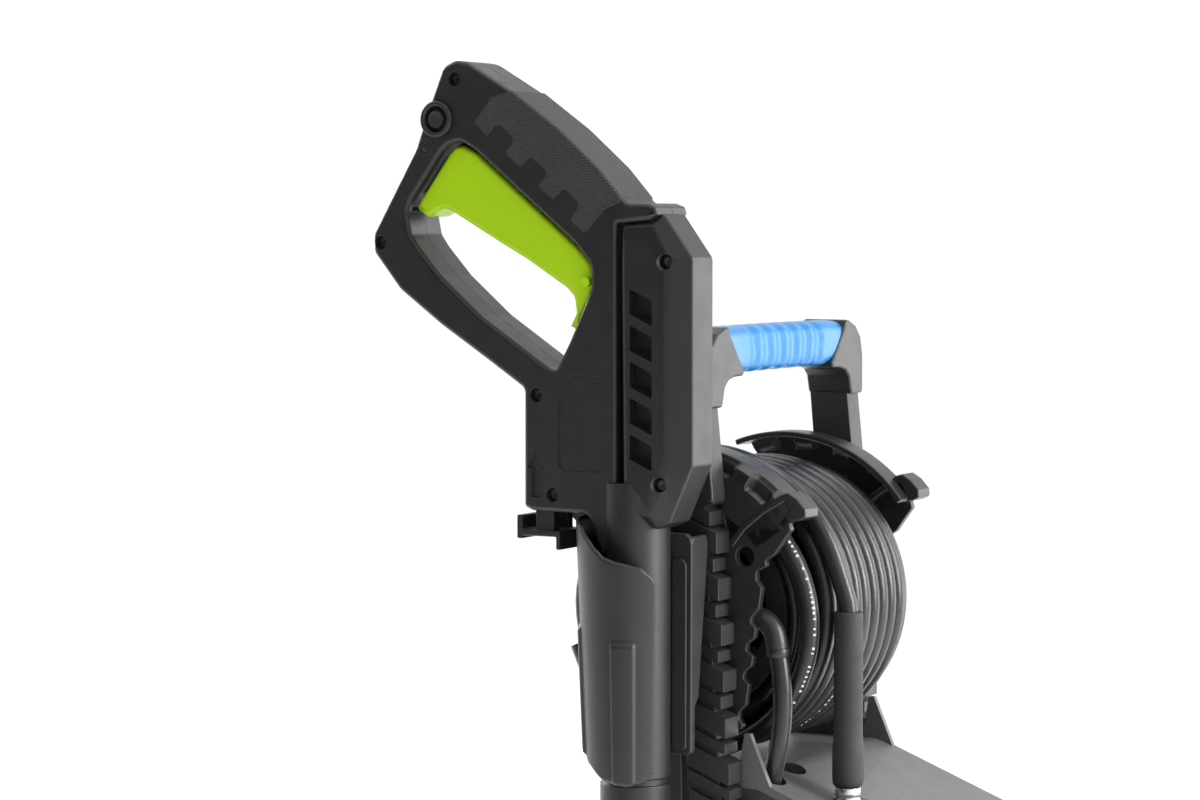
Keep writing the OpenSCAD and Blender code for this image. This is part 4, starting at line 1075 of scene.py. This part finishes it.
def hood(name, a0=-52.0):
    """Rolled hood over the winding with stepped pockets along its rim."""
    bm = bmesh.new()
    a1 = 53.0
    n = 210
    X0, X1 = -94.0, -64.0
    prof_n = 0
    rows = []
    for i in range(n + 1):
        a = a0 + (a1 - a0) * i / n
        ph = ((a + 6.0) / 17.0) % 1.0
        s = 0.0
        # trapezoid pocket: full depth between 0.3 and 0.7, sloping flanks
        if 0.18 < ph < 0.82:
            s = min(1.0, (ph - 0.18) / 0.12, (0.82 - ph) / 0.12)
        edge = min(1.0, (a - a0) / 3.0, (a1 - a) / 3.0)
        dep = 4.6 * s * (1.0 if edge >= 1 else 0.0)
        R = 108.0
        # cross-section from the near inner edge, over the rim, to the far inner edge; r and x
        sec = [(X0 + 0.6, R - 34.0), (X0, R - 33.4), (X0, R - 13.0), (X0 + 0.2, R - 12.0), (X0 + dep * 1.1, R - 11.0 + 1.0), (X0 + dep * 1.1, R - 5.2), (X0 + dep * 1.1 + 1.2, R - 3.0),
               (X0 + 6.0 + dep * 0.4, R - 1.2 - dep * 0.35), (X0 + 9.0, R - 0.4), (X0 + 11.0, R), (X1 - 1.5, R), (X1 - 0.4, R - 0.5), (X1, R - 1.6), (X1, R - 3.2), (X1 - 0.6, R - 3.8), (X0 + 8.5 + dep, R - 4.0), (X0 + 7.6 + dep, R - 4.6), (X0 + 6.8 + dep * 1.1, R - 7.5),
               (X0 + 4.6 + 0.0 + dep, R - 11.0), (X0 + 4.4, R - 14.0), (X0 + 4.4, R - 33.4), (X0 + 3.8, R - 34.0)]
        ang = math.radians(a)
        row = []
        for x, r in sec:
            row.append(bm.verts.new(V(x, RY - r * math.sin(ang) * -1.0 if False else RY + r * math.sin(-ang), RZ + r * math.cos(ang))))
        rows.append(row)
    m = len(rows[0])
    for a, b in zip(rows, rows[1:]):
        for j in range(m):
            bm.faces.new((a[j], a[(j + 1) % m], b[(j + 1) % m], b[j]))
    bm.faces.new(rows[0][::-1])
    bm.faces.new(rows[-1])
    bmesh.ops.recalc_face_normals(bm, faces=bm.faces)
    me = bpy.data.meshes.new(name)
    bm.to_mesh(me)
    bm.free()
    return me


for side in (0, 1):
    g = guard("reel_guard_near" if not side else "reel_guard_far")
    h = hood("hood%d" % side, -21.0 if side else -52.0)
    g = join_meshes("reel_guard_near_body" if not side else "reel_guard_far_body", [g, h])
    if side:
        g = mirrored(g, "reel_guard_far_body")
    o = obj_from(g.name, g, M_GUARD, "machine")
    smart_normals(o.data, 36)
    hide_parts("reel_guard_left" if side else "reel_guard_right")


# holster shell
def lerp_table(t, pts):
    if t <= pts[0][0]:
        return pts[0][1]
    for (a, va), (b, vb) in zip(pts, pts[1:]):
        if t <= b:
            u = (t - a) / (b - a)
            u = u * u * (3 - 2 * u) * 0.5 + u * 0.5
            return va + (vb - va) * u
    return pts[-1][1]


def sstep(a, b, t):
    u = max(0.0, min(1.0, (t - a) / (b - a)))
    return u * u * (3 - 2 * u)


def holster_mesh():
    # th is measured from the near side (-X) towards the front (-Y)
    TOP = [(-180, 676), (-120, 678), (-60, 677), (-44, 674), (-28, 667), (-14, 660), (-4, 655.5), (10, 653.0), (34, 650), (43, 646), (51, 640.5)]
    BOT = [(-180, 548), (-110, 546), (-75, 541), (-60, 534), (-40, 524), (-10, 515.5), (20, 513.5), (40, 515.5), (51, 522)]
    GX, GY = -150.0, 46.6
    nth, nz = 200, 96
    bm = bmesh.new()
    def Ro(z):
        return 31.2 + 5.9 * (z - 530) / 147.0
    def outer(th, z):
        r = Ro(z)
        r += 2.0 * sstep(1.5, 4.5, th) * sstep(29.5, 26.5, th) * sstep(604, 600.5, z)
        r += 1.8 * sstep(-79, -75, th) * sstep(-48, -52, th) * sstep(612, 607, z)
        return r
    def pt(th, r, z):
        a = math.radians(th)
        return V(GX - r * math.cos(a), GY - r * math.sin(a), z)
    ths = [-180 + 231.0 * i / nth for i in range(nth + 1)]
    go, gi = [], []
    for th in ths:
        zt, zb = lerp_table(th, TOP), lerp_table(th, BOT)
        ro, ri = [], []
        for j in range(nz + 1):
            t = j / nz
            z = zb + (zt - zb) * t
            # rounded lips
            e = max(0.0, 1 - (z - zb) / 1.1, 1 - (zt - z) / 1.1)
            side = max(0.0, 1 - (51 - th) / 1.8)
            c = max(min(1.0, e), min(1.0, side))
            cut = 1.25 * (1 - math.sqrt(max(0.0, 1 - c * c)))
            ro.append(bm.verts.new(pt(th, outer(th, z) - cut, z)))
            ri.append(bm.verts.new(pt(th, Ro(z) - 3.1 + cut, z)))
        go.append(ro)
        gi.append(ri)
    for a, b in zip(go, go[1:]):
        for j in range(nz):
            bm.faces.new((a[j], b[j], b[j + 1], a[j + 1]))
    for a, b in zip(gi, gi[1:]):
        for j in range(nz):
            bm.faces.new((a[j], a[j + 1], b[j + 1], b[j]))
    for (o1, o2), (i1, i2) in zip(zip(go, go[1:]), zip(gi, gi[1:])):
        bm.faces.new((o1[nz], o2[nz], i2[nz], i1[nz]))
        bm.faces.new((o2[0], o1[0], i1[0], i2[0]))
    for q in (0, -1):
        for j in range(nz):
            f = (go[q][j], gi[q][j], gi[q][j + 1], go[q][j + 1])
            bm.faces.new(f if q == 0 else f[::-1])
    bmesh.ops.recalc_face_normals(bm, faces=bm.faces)
    me = bpy.data.meshes.new("holster_shell")
    bm.to_mesh(me)
    bm.free()
    return me


o = obj_from("holster_shell", holster_mesh(), M_HOLSTER, "machine")
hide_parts("holster")

# bracket wall between the holster and the upright
w = [(-134, 661), (-131.5, 665), (-114.5, 665.4), (-112.2, 662), (-112.2, 655), (-124.0, 564), (-127, 560.5), (-128.6, 559), (-129.2, 531), (-132, 528.5), (-134.5, 531)]
m1 = plate_y("wall_a", [fillet(w, 1.6, 4)], 15.4, 19.4, 1.1, 3)
m2 = plate_mesh("wall_b", [fillet([(16, 528.5), (16, 664), (20, 667), (76, 667), (80, 660), (80, 534), (70, 528)], 3.0, 5)], -134, -128, 1.0)
m3 = plate_mesh("wall_c", [fillet([(18.6, 532), (18.6, 648), (21.5, 652), (27, 652), (29, 649), (29, 532)], 2.0, 5)], -135.6, -133, 0.7)
m4 = plate_mesh("wall_d", [fillet([(24, 556), (24, 572), (54, 572), (54, 556)], 2, 4)], -129, -111, 0.6)
m5 = plate_mesh("wall_e", [fillet([(24, 630), (24, 646), (54, 646), (54, 630)], 2, 4)], -129, -111, 0.6)
o = obj_from("holster_wall", join_meshes("holster_wall", [m1, m2, m3, m4, m5]), M_HOLSTER, "machine")
smart_normals(o.data, 40)
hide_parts("holster_plate")


# ------------------------------------------------------------------ floor and light
def stage_floor():
    me = bpy.data.meshes.new("floor")
    s = 60.0
    me.from_pydata([(-s, -s, 0), (s, -s, 0), (s, s, 0), (-s, s, 0)], [], [(0, 1, 2, 3)])
    f = bpy.data.objects.new("floor", me)
    COL.objects.link(f)
    m, nt, bsdf = new_mat("mat_floor")
    vec = coords(nt)
    link(nt, ramp(nt, noise(nt, vec, 3.0, 4.0), [(0.3, (0.955, 0.955, 0.955, 1)), (0.7, (0.975, 0.975, 0.975, 1))]), bsdf.inputs["Base Color"])
    bsdf.inputs["Roughness"].default_value = 0.7
    set_mat(f, m)


stage_floor()

SC.view_settings.view_transform = "Standard"
SC.view_settings.look = "None"
world = bpy.data.worlds.new("studio")
SC.world = world
world.use_nodes = True
bg = world.node_tree.nodes["Background"]
bg.inputs["Color"].default_value = (1, 1, 1, 1)
bg.inputs["Strength"].default_value = 1.08


def area(name, loc, target, size, power, size_y=None):
    l = bpy.data.lights.new(name, "AREA")
    l.energy = power
    l.size = size
    if size_y:
        l.shape = "RECTANGLE"
        l.size_y = size_y
    o = bpy.data.objects.new(name, l)
    COL.objects.link(o)
    o.location = loc
    o.rotation_euler = (Vector(target) - Vector(loc)).to_track_quat("-Z", "Y").to_euler()
    return o


def card(name, centre, facing, w, h):
    """A black studio card behind the viewer that keeps the near faces deep."""
    me = bpy.data.meshes.new(name)
    me.from_pydata([(-w / 2, -h / 2, 0), (w / 2, -h / 2, 0), (w / 2, h / 2, 0), (-w / 2, h / 2, 0)], [], [(0, 1, 2, 3)])
    o = bpy.data.objects.new(name, me)
    COL.objects.link(o)
    o.location = centre
    o.rotation_euler = Vector(facing).to_track_quat("Z", "Y").to_euler()
    o.visible_camera = False
    m, nt, bsdf = new_mat("mat_" + name)
    vec = coords(nt)
    link(nt, ramp(nt, noise(nt, vec, 3.0, 3.0), [(0.3, (0.01, 0.01, 0.01, 1)), (0.7, (0.02, 0.02, 0.02, 1))]), bsdf.inputs["Base Color"])
    bsdf.inputs["Roughness"].default_value = 0.9
    set_mat(o, m)


T = (0, 0, 0.65)
card("black_card", (-3.1, 0.9, 1.3), (1, -0.25, -0.1), 4.4, 3.2)
area("key_right", (0.25, -2.4, 1.35), T, 0.9, 90, 1.7)
area("kick_right", (2.3, -1.55, 1.0), (0, 0, 0.65), 1.3, 34, 2.2)
area("rim_left", (0.9, 2.6, 1.5), T, 0.7, 60, 1.8)
area("top", (0.3, -0.3, 3.0), T, 1.2, 15)
